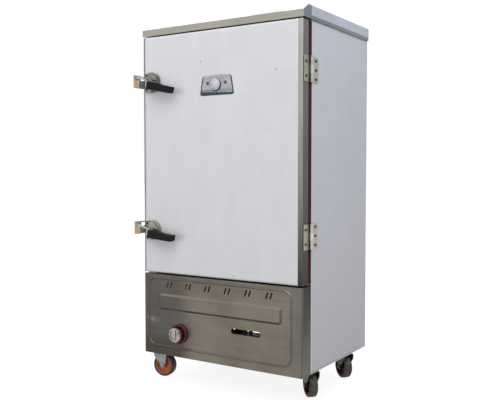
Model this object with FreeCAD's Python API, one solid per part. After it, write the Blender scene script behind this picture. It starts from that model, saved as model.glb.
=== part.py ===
import FreeCAD, Part
import math
import os

# Gas rice steamer: an upright insulated steel cabinet on four casters. A hinged door closes a chamber
# with ten trays, and a gas burner under a water tank makes the steam.
# Millimetres. +X is to the right when facing the door, +Y goes to the back, +Z is up from the floor.

V = FreeCAD.Vector

# Cabinet
WIDTH = 700.0
DEPTH = 540.0
SHEET = 1.2
FLANGE = 15.0
FOLD_RADIUS = 2.4
WALL = 38.8
BASE_RAISE = 15.0
FRAME_HEIGHT = 25.0
FRAME_LEG = 25.0
FRAME_SHEET = 3.0
BURNER_BAR = 30.0

# Lid
LID_HEIGHT = 47.0
LID_STRAIGHT = 25.0
LID_SLOPE_DEPTH = 34.0
LID_OVERHANG = 5.0
LID_REAR_OVERHANG = 4.0

# Door
DOOR_HEIGHT = 907.0
DOOR_THICKNESS = 41.0
DOOR_GAP_BELOW = 5.0
DOOR_GAP_ABOVE = 4.0
DOOR_PLUG_MARGIN = 48.0
DOOR_PLUG_DEPTH = 12.0
GASKET_THICKNESS = 23.0
GASKET_WIDTH = 24.0
GASKET_INSET = 4.0
GASKET_AIR = 0.3
PLUG_CORNER = 20.0
PLUG_SLANT = 8.0
WOOL_AIR = 3.0

# Chamber, racks and trays
LINER = 1.0
CHAMBER_FLOOR_ABOVE_PANEL = 34.0
CHAMBER_BACK_WALL = 41.0
CHAMBER_TOP_WALL = 41.0
LINER_LIP = 10.0
TRAY_COUNT = 10
TRAY_WIDTH = 600.0
TRAY_DEPTH = 400.0
TRAY_HEIGHT = 48.0
TRAY_RIM = 12.0
TRAY_SHEET = 1.0
FIRST_RIM = 60.0
TRAY_HEADROOM = 61.0
RAIL_SHEET = 1.5
RACK_POST = 6.0
RACK_POST_WIDTH = 20.0
RACK_POST_INSET = 30.0
RACK_ABOVE = 20.0
RAIL_GUIDE = 16.0
RAIL_AIR = 2.0

# Control panel; margins run left, right, bottom, top, and places are from its left and bottom edges
PANEL_HEIGHT = 313.0
FIELD_MARGINS = (73.0, 79.0, 176.0, 75.0)
FIELD_RISE = 4.0
FIELD_SLANT = 8.0
FIELD_CORNER = 12.0
BEAD_MARGINS = (22.0, 42.0, 34.0, 16.0)
BEAD_RISE = 2.0
BEAD_WIDTH = 8.0
BEAD_CREST = 3.0
BEAD_CORNER = 34.0
VENT_COUNT = 6
VENT_ENDS = (123.5, 131.5)
VENT_BELOW_TOP = 39.0
VENT_SLIT = (6.0, 26.0)
VENT_SPREAD = 17.0
VENT_TILT = 20.0
SLOT = (408.0, 535.0, 121.0, 141.0)
SLOT_LIP = 14.0

# Gas knob and gas line
KNOB_PLACE = (172.0, 91.0)
KNOB_RADIUS = 28.0
KNOB_LENGTH = 25.0
KNOB_FLUTES = 12
FLUTE_RADIUS = 5.0
FLUTE_DEPTH = 1.8
KNOB_RIM = 8.0
KNOB_DISH = 3.0
KNOB_BAR = (8.0, 39.0, 4.0)
KNOB_BORE = 22.0
KNOB_TRAVEL = 4.0
KNOB_AIR = 1.0
BEZEL_RADIUS = 38.0
BEZEL_HEIGHT = 9.0
BEZEL_WELL = 6.5
STEM_RADIUS = 4.0
STEM_REACH = 24.0
RUNNING_GAP = 0.05
VALVE_RADIUS = 16.0
VALVE_LENGTH = 48.0
VALVE_COLLAR = (14.0, 34.0, 19.0)
VALVE_NOSE_RADIUS = 10.0
VALVE_FEED = 26.0
VALVE_HALF_REACH = 29.0
GAS_PIPE_RADIUS = 8.0
GAS_PIPE_BORE = 6.0
THREAD_HALF_INCH = 10.48
THREAD_LENGTH = 20.0
GAS_THREAD_OUT = 8.0
FEED_BEND = 24.0

# Burner and tank
BURNER_RADIUS = 120.0
BURNER_HEIGHT = 30.0
BURNER_ABOVE_FRAME = 85.0
BURNER_Y = 10.0
BURNER_LEG = 9.0
BURNER_LEG_X = 80.0
BURNER_LEG_Y = 72.0
BURNER_EYE = 34.0
BURNER_GROOVE = (66.0, 82.0, 6.0)
BURNER_PORTS = ((104.0, 24), (50.0, 12))
PORT_RADIUS = 2.5
PORT_DEPTH = 8.0
NECK_RADIUS = 17.0
NECK_LENGTH = 34.0
IGNITER_PLACE = (58.0, -76.0)
TANK_WIDTH = 480.0
TANK_DEPTH = 320.0
TANK_HEIGHT = 120.0
TANK_SHEET = 1.5
TANK_RIM = 18.0
TANK_BEHIND_BURNER = 5.0
STEAM_EDGE = 20.0

# Hinges
HINGE_HEIGHT = 88.0
HINGE_LEAF = 2.5
KNUCKLE_RADIUS = 7.0
HINGE_PIN = 3.0
DOOR_LEAF_REACH = 6.0
BODY_LEAF_WIDTH = 46.0
DOOR_LEAF_SCREW = (22.0, 19.0)
BODY_LEAF_SCREW = (29.0, 12.0)
FITTING_HALF_SPAN = 287.0

# Latches
LATCH_X = 42.0
LATCH_BELOW_MIDDLE = 14.5
LATCH_HALF_SPAN = 284.0
LATCH_DROOP = {"upper": 12.5, "lower": 6.0}
HOUSING_BASE = 12.0
HOUSING_CHEEK = 9.0
LEVER_SHEET = 7.0
LEVER_GAP = 1.0
LEVER_HUB = 15.0
HUB_HEIGHT = 11.0
ARM_DEPTH = 17.0
TONGUE_REACH = 65.5
GRIP_START = 9.0
GRIP_LENGTH = 128.0
GRIP_STEP = 62.0
GRIP_FRONT = 46.0
PIVOT_RADIUS = 5.0
CAP_RADIUS = 7.5
HOUSING_SCREW = (-17.0, 36.0, -19.0)
HOUSING_SINK = 5.0
KEEPER_REACH = 29.0
KEEPER_FOOT = (3.0, 44.0)
KEEPER_SHEET = 3.0
KEEPER_LIP = 27.0
KEEPER_LIP_SHEET = 4.0
KEEPER_AIR = 2.0
KEEPER_BELOW = 7.5
KEEPER_ABOVE = 41.5
KEEPER_SCREW = (28.0, 12.0)

# Casters
WHEEL_RADIUS = 45.0
TYRE_DEPTH = 9.0
TYRE_WIDTH = 30.0
CASTER_PLATE = 48.0
CASTER_PLATE_SHEET = 4.0
CASTER_INSET = 26.0
CASTER_FROM_FRONT = {"front_left": 64.0, "front_right": 128.0}
CASTER_FROM_BACK = 124.0
CASTER_RISE = 15.0
CASTER_TRAIL = 20.0
FORK_SHEET = 3.0
FORK_TIP = 9.0
FORK_ROOM = 7.0
RACE_RADIUS = 23.0
RACE_HEIGHT = 5.0
RACE_AIR = 0.5
KING_PIN = 5.0
AXLE_RADIUS = 4.0
AXLE_NUT = (6.5, 4.0)
CORE_RIM = 6.0
CORE_WEB = 9.0
CORE_BOSS = 11.0
CASTER_TURN = {"front_left": 10.0, "front_right": 137.0, "rear_left": 68.0, "rear_right": 144.0}

# Back of the cabinet
BACK_SLOT_ROWS = 6
BACK_SLOT_PITCH = 22.0
BACK_SLOT = (120.0, 7.0)
BACK_SLOT_X = 190.0
BACK_SLOT_ABOVE_FRAME = 50.0
FLUE_WIDTH = 120.0
FLUE_DEPTH = 40.0
FLUE_BELOW_FLOOR = 12.0
FLUE_BELOW_LID = 94.0
FLUE_TAB = 14.0
FLUE_MOUTH = (10.0, 12.0, 70.0)
DRAIN_X = -170.0
DRAIN_ABOVE_BASE = 17.0
DRAIN_RADIUS = 13.2
DRAIN_WALL = 3.0
DRAIN_OUT = 4.0
DRAIN_BODY = (19.0, 24.0)
DRAIN_OUTLET = 16.0
DRAIN_STEM = 4.0
DRAIN_LEVER = (78.0, 16.0, 3.0)
INLET_X = 170.0
INLET_BELOW_TOP = 51.0
INLET_RADIUS = 8.5
INLET_BORE = 6.5
INLET_OUT = 14.0
STEAM_X = 200.0
STEAM_BELOW_LID = 94.0
STEAM_RADIUS = 11.0
STEAM_WALL = 1.5
STEAM_OUT = 4.0
STEAM_END_RADIUS = 12.0
STEAM_END_LENGTH = 30.0
HOLE_AIR = 0.3

# Fasteners
SCREW_HEAD = 5.0
SCREW_HEAD_HEIGHT = 2.8
SCREW_SHANK = 2.0
FLANGE_SCREWS = 6
FLANGE_SCREW_END = 45.0

# Levels and planes that follow from the sizes above
HALF = WIDTH / 2
FRONT = -DEPTH / 2
BACK = DEPTH / 2
INSIDE = HALF - SHEET
FLOOR_GAP = 2 * WHEEL_RADIUS + CASTER_RISE
PANEL_TOP = FLOOR_GAP + PANEL_HEIGHT
DOOR_BOTTOM = PANEL_TOP + DOOR_GAP_BELOW
DOOR_TOP = DOOR_BOTTOM + DOOR_HEIGHT
LID_BOTTOM = DOOR_TOP + DOOR_GAP_ABOVE
LID_TOP = LID_BOTTOM + LID_HEIGHT
DOOR_BACK = FRONT + DOOR_THICKNESS
FRAME_Y = DOOR_BACK + GASKET_THICKNESS
BACK_SHEET = BACK - 2 * SHEET
CHAMBER_HALF = INSIDE - WALL
CHAMBER_FRONT = FRAME_Y + SHEET
CHAMBER_BACK = BACK - CHAMBER_BACK_WALL
CHAMBER_FLOOR = PANEL_TOP + CHAMBER_FLOOR_ABOVE_PANEL
CHAMBER_TOP = LID_BOTTOM - CHAMBER_TOP_WALL
TANK_TOP = CHAMBER_FLOOR - LINER
TANK_BOTTOM = TANK_TOP - TANK_HEIGHT
FRAME_FLOOR = FLOOR_GAP + BASE_RAISE
BURNER_Z = FRAME_FLOOR + BURNER_ABOVE_FRAME
DRAIN_PLACE = (DRAIN_X, TANK_BOTTOM + DRAIN_ABOVE_BASE)
INLET_PLACE = (INLET_X, TANK_TOP - INLET_BELOW_TOP)
STEAM_PLACE = (STEAM_X, LID_BOTTOM - STEAM_BELOW_LID)
FLUE_BOTTOM = CHAMBER_FLOOR - FLUE_BELOW_FLOOR
FLUE_TOP = LID_BOTTOM - FLUE_BELOW_LID
HINGE_X = HALF + KNUCKLE_RADIUS
HINGE_Y = DOOR_BACK + GASKET_THICKNESS / 2
FITTING_MIDDLE = (DOOR_BOTTOM + DOOR_TOP) / 2
TRAY_MIDDLE = (CHAMBER_FRONT + CHAMBER_BACK) / 2
TRAY_PITCH = (CHAMBER_TOP - TRAY_HEADROOM - CHAMBER_FLOOR - FIRST_RIM) / (TRAY_COUNT - 1)
VENT_PITCH = (WIDTH - sum(VENT_ENDS)) / (VENT_COUNT - 1)


def box(x, y, z):
    """A box from three (low, high) pairs."""
    return Part.makeBox(x[1] - x[0], y[1] - y[0], z[1] - z[0], V(x[0], y[0], z[0]))


def rod(start, axis, radius, length):
    return Part.makeCylinder(radius, length, V(*start), V(*axis))


def join(*shapes):
    return shapes[0].fuse(list(shapes[1:])).removeSplitter()


def tube(start, axis, radius, bore, length):
    return rod(start, axis, radius, length).cut(rod(start, axis, bore, length))


def rounded_wire(a, b, radius, place):
    """A rectangle with round corners; place turns (a, b) into a point."""
    (a0, a1), (b0, b1) = a, b
    k = radius * (1 - math.sqrt(0.5))
    corners = [
        ((a1 - radius, b0), (a1 - k, b0 + k), (a1, b0 + radius)),
        ((a1, b1 - radius), (a1 - k, b1 - k), (a1 - radius, b1)),
        ((a0 + radius, b1), (a0 + k, b1 - k), (a0, b1 - radius)),
        ((a0, b0 + radius), (a0 + k, b0 + k), (a0 + radius, b0)),
    ]
    edges = []
    for i, (start, middle, end) in enumerate(corners):
        edges.append(Part.Arc(place(*start), place(*middle), place(*end)).toShape())
        following = corners[(i + 1) % 4][0]
        edges.append(Part.LineSegment(place(*end), place(*following)).toShape())
    return Part.Wire(edges)


def front_plane(y):
    return lambda a, b: V(a, y, b)


def level_plane(z):
    return lambda a, b: V(a, b, z)


def upright_plate(x, z, radius, y):
    """A round-cornered plate that stands across the cabinet, from y[0] to y[1]."""
    wire = rounded_wire(x, z, radius, front_plane(y[0]))
    return Part.Face(wire).extrude(V(0, y[1] - y[0], 0))


def upright_frustum(x, z, radius, y, shrink):
    """A block that shrinks on all four sides from y[0] to y[1]."""
    wide = rounded_wire(x, z, radius, front_plane(y[0]))
    small_x = (x[0] + shrink, x[1] - shrink)
    small_z = (z[0] + shrink, z[1] - shrink)
    small = rounded_wire(small_x, small_z, max(radius - shrink / 2, 1.0), front_plane(y[1]))
    return Part.makeLoft([wide, small], True, True)


def fillet(shape, radius, wanted):
    return shape.makeFillet(radius, [e for e in shape.Edges if wanted(e.BoundBox)])


def runs_along(bounds, axis):
    spans = (bounds.XLength, bounds.YLength, bounds.ZLength)
    return all((length > 1e-3) == (i == axis) for i, length in enumerate(spans))


def bars_round(outer, inner, make):
    """Four bars that fill the ring between two rectangles; make turns two spans into a bar."""
    (a, b), (c, d) = outer, inner
    return [
        make((a[0], c[0]), b),
        make((c[1], a[1]), b),
        make(c, (b[0], d[0])),
        make(c, (d[1], b[1])),
    ]


def mirrored(shape):
    return shape.mirror(V(0, 0, 0), V(1, 0, 0))


def screw(head_centre, axis, length):
    """A pan-head screw; axis points out of its head."""
    head = Part.makeCylinder(SCREW_HEAD, SCREW_HEAD_HEIGHT, V(*head_centre), V(*axis))
    head = head.makeFillet(0.4 * SCREW_HEAD_HEIGHT, [head.Edges[0]])
    inward = V(*axis) * -1
    return head.fuse(Part.makeCylinder(SCREW_SHANK, length, V(*head_centre), inward))


# Cabinet shell


def side_panel():
    """The right side: one sheet with a flange at the back, tucked under the lid."""
    sheet = box((INSIDE, HALF), (FRAME_Y, BACK), (FLOOR_GAP, LID_BOTTOM))
    flange = box((INSIDE - FLANGE, INSIDE), (BACK - SHEET, BACK), (FLOOR_GAP, LID_BOTTOM))
    return join(sheet, flange)


def back_panel():
    sheet = box((-INSIDE, INSIDE), (BACK_SHEET, BACK_SHEET + SHEET), (FLOOR_GAP, LID_BOTTOM))
    through = (BACK_SHEET - 1, BACK_SHEET + SHEET + 1)
    cuts = []
    width, height = BACK_SLOT
    for row in range(BACK_SLOT_ROWS):
        z = FRAME_FLOOR + BACK_SLOT_ABOVE_FRAME + row * BACK_SLOT_PITCH
        for middle in (-BACK_SLOT_X, BACK_SLOT_X):
            across = (middle - width / 2, middle + width / 2)
            cuts.append(upright_plate(across, (z, z + height), 0.49 * height, through))
    side, foot, opening = FLUE_MOUTH
    flue_hole = (-FLUE_WIDTH / 2 + side, FLUE_WIDTH / 2 - side)
    cuts.append(box(flue_hole, through, (FLUE_BOTTOM + foot, FLUE_BOTTOM + foot + opening)))
    holes = [
        (knob_centre(), GAS_PIPE_RADIUS),
        (DRAIN_PLACE, DRAIN_RADIUS),
        (INLET_PLACE, INLET_RADIUS),
        (STEAM_PLACE, STEAM_RADIUS),
    ]
    for (x, z), radius in holes:
        cuts.append(rod((x, through[0], z), (0, 1, 0), radius + HOLE_AIR, through[1] - through[0]))
    return sheet.cut(cuts)


def lid_profile(inset):
    """The lid's side outline, drawn in by inset on all its outer faces."""
    y0, y1 = FRONT + inset, BACK + LID_REAR_OVERHANG - inset
    z0, z1 = LID_BOTTOM + inset, LID_TOP - inset
    rise, run = LID_HEIGHT - LID_STRAIGHT, LID_SLOPE_DEPTH
    slant = math.hypot(rise, run)
    corner = inset * (slant - rise) / run
    points = [
        (y0, z0),
        (y0, LID_BOTTOM + LID_STRAIGHT - corner),
        (FRONT + LID_SLOPE_DEPTH + inset * (slant - run) / rise, z1),
        (y1, z1),
        (y1, z0),
    ]
    half = HALF + LID_OVERHANG - inset
    wire = Part.makePolygon([V(-half, y, z) for y, z in points + points[:1]])
    return Part.Face(wire).extrude(V(2 * half, 0, 0))


def lid():
    """A folded pan with a sloped front; its inward flanges sit on the cabinet's top edges."""
    outside = lid_profile(0)
    soft = lambda b: b.ZMax > LID_BOTTOM + 1 and b.ZMax - b.ZMin < LID_HEIGHT - 1 or runs_along(b, 2)
    outside = fillet(outside, FOLD_RADIUS, soft)
    mouth_x = grown((-INSIDE, INSIDE), -FLANGE)
    mouth_y = grown((FRAME_Y, BACK), -FLANGE)
    mouth = box(mouth_x, mouth_y, (LID_BOTTOM - 1, LID_BOTTOM + 2))
    return outside.cut([lid_profile(SHEET), mouth])


def front_frame():
    """The sealing face round the chamber's mouth, with a rim turned back inside the side panels."""
    z = (PANEL_TOP - FLANGE, LID_BOTTOM)
    face = ((-INSIDE, INSIDE), z)
    mouth = ((-CHAMBER_HALF, CHAMBER_HALF), (CHAMBER_FLOOR, CHAMBER_TOP))
    strips = bars_round(face, mouth, lambda x, z: box(x, (FRAME_Y, CHAMBER_FRONT), z))
    rim = box((INSIDE - SHEET, INSIDE), (CHAMBER_FRONT, CHAMBER_FRONT + FLANGE), z)
    return Part.makeCompound(strips + [rim, mirrored(rim)])


def chamber_liner():
    """The inner box of welded sheets, open at the front, with a steam opening over the tank."""
    x, z = (-CHAMBER_HALF, CHAMBER_HALF), (CHAMBER_FLOOR, CHAMBER_TOP)
    y = (CHAMBER_FRONT, CHAMBER_BACK + LINER)
    wall = box((CHAMBER_HALF, CHAMBER_HALF + LINER), y, grown(z, LINER))
    top = box(x, y, (CHAMBER_TOP, CHAMBER_TOP + LINER))
    back = box(x, (CHAMBER_BACK, y[1]), z)
    vent = rod((STEAM_PLACE[0], CHAMBER_BACK - 1, STEAM_PLACE[1]), (0, 1, 0), STEAM_RADIUS, LINER + 2)
    steam_x = grown((-TANK_WIDTH / 2, TANK_WIDTH / 2), -STEAM_EDGE)
    steam = (steam_x, grown(tank_depth(), -STEAM_EDGE))
    floor = bars_round((x, y), steam, lambda x, y: box(x, y, (CHAMBER_FLOOR - LINER, CHAMBER_FLOOR)))
    outside = (grown(x, LINER), grown(z, LINER))
    rim = (grown(x, LINER_LIP), grown(z, LINER_LIP))
    lip = bars_round(rim, outside, lambda x, z: box(x, (y[0], y[0] + LINER), z))
    return Part.makeCompound([wall, mirrored(wall), top, back.cut(vent)] + floor + lip)


def wall_insulation():
    """Wool that fills the space between the liner and the sides, back and top."""
    outer = box(
        (-INSIDE + SHEET, INSIDE - SHEET),
        (CHAMBER_FRONT + FLANGE, BACK_SHEET),
        (CHAMBER_FLOOR - LINER - LINER_LIP, LID_BOTTOM),
    )
    inner = box(
        grown((-CHAMBER_HALF, CHAMBER_HALF), LINER),
        (CHAMBER_FRONT, CHAMBER_BACK + LINER),
        (CHAMBER_FLOOR - 2 * LINER_LIP, CHAMBER_TOP + LINER),
    )
    vent_start = (STEAM_PLACE[0], CHAMBER_BACK, STEAM_PLACE[1])
    vent = rod(vent_start, (0, 1, 0), STEAM_RADIUS + HOLE_AIR, CHAMBER_BACK_WALL)
    _, foot, opening = FLUE_MOUTH
    flue = box(
        (-FLUE_WIDTH / 2, FLUE_WIDTH / 2),
        (CHAMBER_BACK, BACK_SHEET + 1),
        (FLUE_BOTTOM - 1, FLUE_BOTTOM + 2 * foot + opening),
    )
    return outer.cut([inner, vent, flue])


# Control panel


def panel_x(from_left):
    return from_left - HALF


def panel_z(from_bottom):
    return from_bottom + FLOOR_GAP


def within_panel(margins):
    """Turns the margins (left, right, bottom, top) on the panel into x and z pairs."""
    left, right, bottom, top = margins
    return (panel_x(left), HALF - right), (panel_z(bottom), PANEL_TOP - top)


def slot_span():
    left, right, bottom, top = SLOT
    return (panel_x(left), panel_x(right)), (panel_z(bottom), panel_z(top))


def knob_centre():
    return panel_x(KNOB_PLACE[0]), panel_z(KNOB_PLACE[1])


def grown(pair, by):
    return pair[0] - by, pair[1] + by


def panel_field():
    x, z = within_panel(FIELD_MARGINS)
    return upright_frustum(x, z, FIELD_CORNER, (FRONT, FRONT - FIELD_RISE), FIELD_SLANT)


def panel_bead():
    """A low rib round the panel, wider at its foot than at its crest."""
    x, z = within_panel(BEAD_MARGINS)
    foot, crest = BEAD_WIDTH / 2, BEAD_CREST / 2
    planes = (front_plane(FRONT), front_plane(FRONT - BEAD_RISE))
    outer = [
        rounded_wire(grown(x, by), grown(z, by), BEAD_CORNER + by, plane)
        for by, plane in zip((foot, crest), planes)
    ]
    inner = [
        rounded_wire(grown(x, -by), grown(z, -by), BEAD_CORNER - by, plane)
        for by, plane in zip((foot, crest), planes)
    ]
    return Part.makeLoft(outer, True, True).cut(Part.makeLoft(inner, True, True))


def vent_slits():
    """Pairs of slanted round-ended slits in one row."""
    width, height = VENT_SLIT
    slits = []
    for i in range(VENT_COUNT):
        for side in (-1, 1):
            x = panel_x(VENT_ENDS[0] + i * VENT_PITCH) + side * VENT_SPREAD / 2
            z = PANEL_TOP - VENT_BELOW_TOP
            slit = upright_plate(
                (x - width / 2, x + width / 2),
                (z - height / 2, z + height / 2),
                width / 2 - 0.01,
                (FRONT - 5, FRONT + 5),
            )
            slit.rotate(V(x, FRONT, z), V(0, 1, 0), VENT_TILT)
            slits.append(slit)
    return slits


def control_panel():
    shell = box((-HALF, HALF), (FRONT, FRAME_Y), (FLOOR_GAP, PANEL_TOP))
    front_folds = lambda b: b.YMax < FRONT + 0.1 and b.ZMax > FLOOR_GAP + 1
    top_folds = lambda b: b.ZMin > PANEL_TOP - 0.1 and b.YLength > 1
    shell = fillet(shell, FOLD_RADIUS, lambda b: front_folds(b) or top_folds(b))
    hollow = box((-INSIDE, INSIDE), (FRONT + SHEET, FRAME_Y + 1), (FLOOR_GAP + SHEET, PANEL_TOP - SHEET))
    mouth = box((-INSIDE, INSIDE), (FRONT + FLANGE, FRAME_Y + 1), (FLOOR_GAP - 1, FLOOR_GAP + SHEET))
    panel = shell.cut([hollow, mouth])
    field = panel_field()
    panel = join(panel, field, panel_bead())
    behind = field.copy()
    behind.translate(V(0, SHEET, 0))
    slot_x, slot_z = slot_span()
    end = (slot_z[1] - slot_z[0]) / 2
    slot = upright_plate(slot_x, slot_z, end - 0.01, (FRONT - 5, FRONT + 5))
    knob_x, knob_z = knob_centre()
    knob_hole = rod((knob_x, FRONT - 5, knob_z), (0, 1, 0), 3 * STEM_RADIUS, 10)
    panel = panel.cut([behind, slot, knob_hole] + vent_slits())
    lip = box(grown(slot_x, -end), (FRONT, FRONT + SLOT_LIP), (slot_z[0] - SHEET, slot_z[0]))
    return join(panel, lip)


# Gas knob, valve and burner


def knob_bezel():
    """A round dark cup that the knob sinks into."""
    x, z = knob_centre()
    cup = rod((x, FRONT, z), (0, -1, 0), BEZEL_RADIUS, BEZEL_HEIGHT)
    cup = fillet(cup, 3.0, lambda b: b.YMax < FRONT - BEZEL_HEIGHT + 0.1)
    well = rod((x, FRONT - BEZEL_HEIGHT + BEZEL_WELL, z), (0, -1, 0), KNOB_RADIUS + 2.5, BEZEL_WELL + 1)
    bore = rod((x, FRONT + 1, z), (0, -1, 0), STEM_RADIUS + 2, BEZEL_HEIGHT + 2)
    return cup.cut([well, bore])


def knob_back():
    return FRONT - BEZEL_HEIGHT + BEZEL_WELL - KNOB_TRAVEL - KNOB_AIR


def knob_stem():
    x, z = knob_centre()
    return rod((x, FRONT + VALVE_LENGTH - 6, z), (0, -1, 0), STEM_RADIUS, VALVE_LENGTH - 6 + STEM_REACH)


def gas_knob():
    """A fluted metal knob with a raised bar across its face, sliding on the stem."""
    x, z = knob_centre()
    back = knob_back()
    body = rod((x, back, z), (0, -1, 0), KNOB_RADIUS, KNOB_LENGTH)
    body = fillet(body, 3.0, lambda b: b.YMax < back - KNOB_LENGTH + 0.1)
    flutes = []
    reach = KNOB_RADIUS + FLUTE_RADIUS - FLUTE_DEPTH
    for i in range(KNOB_FLUTES):
        turn = 2 * math.pi * i / KNOB_FLUTES
        place = (x + reach * math.cos(turn), back + 1, z + reach * math.sin(turn))
        flutes.append(rod(place, (0, -1, 0), FLUTE_RADIUS, KNOB_LENGTH + 2))
    face = back - KNOB_LENGTH
    dish = rod((x, face + KNOB_DISH, z), (0, -1, 0), KNOB_RADIUS - KNOB_RIM, KNOB_DISH + 2)
    width, length, height = KNOB_BAR
    bar_x = (x - width / 2, x + width / 2)
    bar_z = (z - length / 2, z + length / 2)
    bar = upright_plate(bar_x, bar_z, 0.49 * width, (face, face + height))
    bore = rod((x, back + 1, z), (0, -1, 0), STEM_RADIUS + RUNNING_GAP, KNOB_BORE)
    return join(body.cut(flutes + [dish]), bar).cut(bore)


def gas_valve():
    x, z = knob_centre()
    start = FRONT + SHEET
    body = rod((x, start, z), (0, 1, 0), VALVE_RADIUS, VALVE_LENGTH - SHEET)
    near, far, half = VALVE_COLLAR
    collar = box((x - half, x + half), (start + near, start + far), (z - half, z + half))
    nose = rod((x, FRONT + VALVE_FEED, z), (1, 0, 0), VALVE_NOSE_RADIUS, VALVE_HALF_REACH)
    bore = rod((x, FRONT - 1, z), (0, 1, 0), STEM_RADIUS + RUNNING_GAP, VALVE_LENGTH - STEM_RADIUS)
    return join(body, collar, nose).cut(bore)


def elbow_pipe(points, radius, bore, bend):
    """A tube along straight runs joined by tangent arcs."""
    runs = [V(*p) for p in points]
    edges = []
    start = runs[0]
    for before, corner, after in zip(runs, runs[1:], runs[2:]):
        back_way = (before - corner).normalize()
        on_way = (after - corner).normalize()
        into = corner + back_way * bend
        out = corner + on_way * bend
        middle = corner + (back_way + on_way) * (bend * (1 - math.sqrt(0.5)))
        edges.append(Part.LineSegment(start, into).toShape())
        edges.append(Part.Arc(into, middle, out).toShape())
        start = out
    edges.append(Part.LineSegment(start, runs[-1]).toShape())
    path = Part.Wire(edges)
    heading = (runs[1] - runs[0]).normalize()
    solids = []
    for size in (radius, bore):
        ring = Part.Wire(Part.makeCircle(size, runs[0], heading))
        solids.append(path.makePipeShell([ring], True, False))
    return solids[0].cut(solids[1])


def gas_pipe():
    """The supply from the threaded inlet at the back to the valve, and the feed from valve to burner."""
    x, z = knob_centre()
    start = FRONT + VALVE_LENGTH
    end = BACK + GAS_THREAD_OUT
    supply = tube((x, start, z), (0, 1, 0), GAS_PIPE_RADIUS, GAS_PIPE_BORE, end - start)
    inlet = tube((x, end, z), (0, 1, 0), THREAD_HALF_INCH, GAS_PIPE_BORE, THREAD_LENGTH)
    feed_y = FRONT + VALVE_FEED
    route = [(x + VALVE_HALF_REACH, feed_y, z), (0, feed_y, z), (0, burner_mouth(), z)]
    feed = elbow_pipe(route, GAS_PIPE_RADIUS, GAS_PIPE_BORE, FEED_BEND)
    return Part.makeCompound([join(supply, inlet), feed])


def burner_mouth():
    return BURNER_Y - BURNER_RADIUS - NECK_LENGTH


def burner():
    """A cast ring burner on four legs, with its mixing tube towards the front."""
    _, feed_z = knob_centre()
    top = BURNER_Z + BURNER_HEIGHT
    body = rod((0, BURNER_Y, BURNER_Z), (0, 0, 1), BURNER_RADIUS, BURNER_HEIGHT)
    eye = rod((0, BURNER_Y, BURNER_Z - 1), (0, 0, 1), BURNER_EYE, BURNER_HEIGHT + 2)
    inner, outer, depth = BURNER_GROOVE
    groove = tube((0, BURNER_Y, top - depth), (0, 0, 1), outer, inner, depth + 1)
    ports = []
    for ring, count in BURNER_PORTS:
        for i in range(count):
            turn = 2 * math.pi * i / count
            place = (ring * math.cos(turn), BURNER_Y + ring * math.sin(turn), top - PORT_DEPTH)
            ports.append(rod(place, (0, 0, 1), PORT_RADIUS, PORT_DEPTH + 1))
    neck_back = BURNER_Y - BURNER_RADIUS + NECK_RADIUS / 2
    neck = rod((0, burner_mouth(), feed_z), (0, 1, 0), NECK_RADIUS, neck_back - burner_mouth())
    riser_y = (neck_back - 1.5 * NECK_RADIUS, neck_back + NECK_RADIUS / 2)
    riser_z = (feed_z - NECK_RADIUS, BURNER_Z + BURNER_HEIGHT / 3)
    riser = box((-NECK_RADIUS, NECK_RADIUS), riser_y, riser_z)
    neck_bore = rod((0, burner_mouth() - 1, feed_z), (0, 1, 0), GAS_PIPE_RADIUS, NECK_LENGTH / 2 + 1)
    legs = []
    for x in (-BURNER_LEG_X, BURNER_LEG_X):
        for side in (-1, 1):
            place = (x, BURNER_Y + side * BURNER_LEG_Y, FRAME_FLOOR + FRAME_SHEET)
            legs.append(rod(place, (0, 0, 1), BURNER_LEG, BURNER_Z - FRAME_FLOOR))
    whole = join(body, neck, riser, *legs)
    return whole.cut([eye, groove, neck_bore] + ports)


def igniter():
    """A spark pin in a ceramic sleeve on an angle bracket."""
    top = BURNER_Z + BURNER_HEIGHT
    x, y = IGNITER_PLACE[0], BURNER_Y + IGNITER_PLACE[1]
    foot = box((x - 9, x + 9), (y - 6, y + 6), (top, top + 2))
    sleeve = rod((x, y, top + 2), (0, 0, 1), 4, 16)
    pin = rod((x, y, top + 18), (0, 0, 1), 1.2, 12)
    return join(foot, sleeve, pin)


def tank_depth():
    middle = BURNER_Y + TANK_BEHIND_BURNER
    return middle - TANK_DEPTH / 2, middle + TANK_DEPTH / 2


def water_tank():
    """The boiler of welded sheets under the chamber floor, hung by its rim, with two holes at the back."""
    x, y = (-TANK_WIDTH / 2, TANK_WIDTH / 2), tank_depth()
    base = (TANK_BOTTOM, TANK_BOTTOM + TANK_SHEET)
    inner = (grown(x, -TANK_SHEET), grown(y, -TANK_SHEET))
    left, right, front, rear = bars_round((x, y), inner, lambda x, y: box(x, y, (base[1], TANK_TOP)))
    outer = (grown(x, TANK_RIM), grown(y, TANK_RIM))
    rim = bars_round(outer, (x, y), lambda x, y: box(x, y, (TANK_TOP - TANK_SHEET, TANK_TOP)))
    hole_y, hole_length = y[1] - 2 * TANK_SHEET, 4 * TANK_SHEET
    holes = [
        rod((DRAIN_PLACE[0], hole_y, DRAIN_PLACE[1]), (0, 1, 0), DRAIN_RADIUS - DRAIN_WALL, hole_length),
        rod((INLET_PLACE[0], hole_y, INLET_PLACE[1]), (0, 1, 0), INLET_BORE, hole_length),
    ]
    return Part.makeCompound([box(x, y, base), left, right, front, rear.cut(holes)] + rim)


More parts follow.
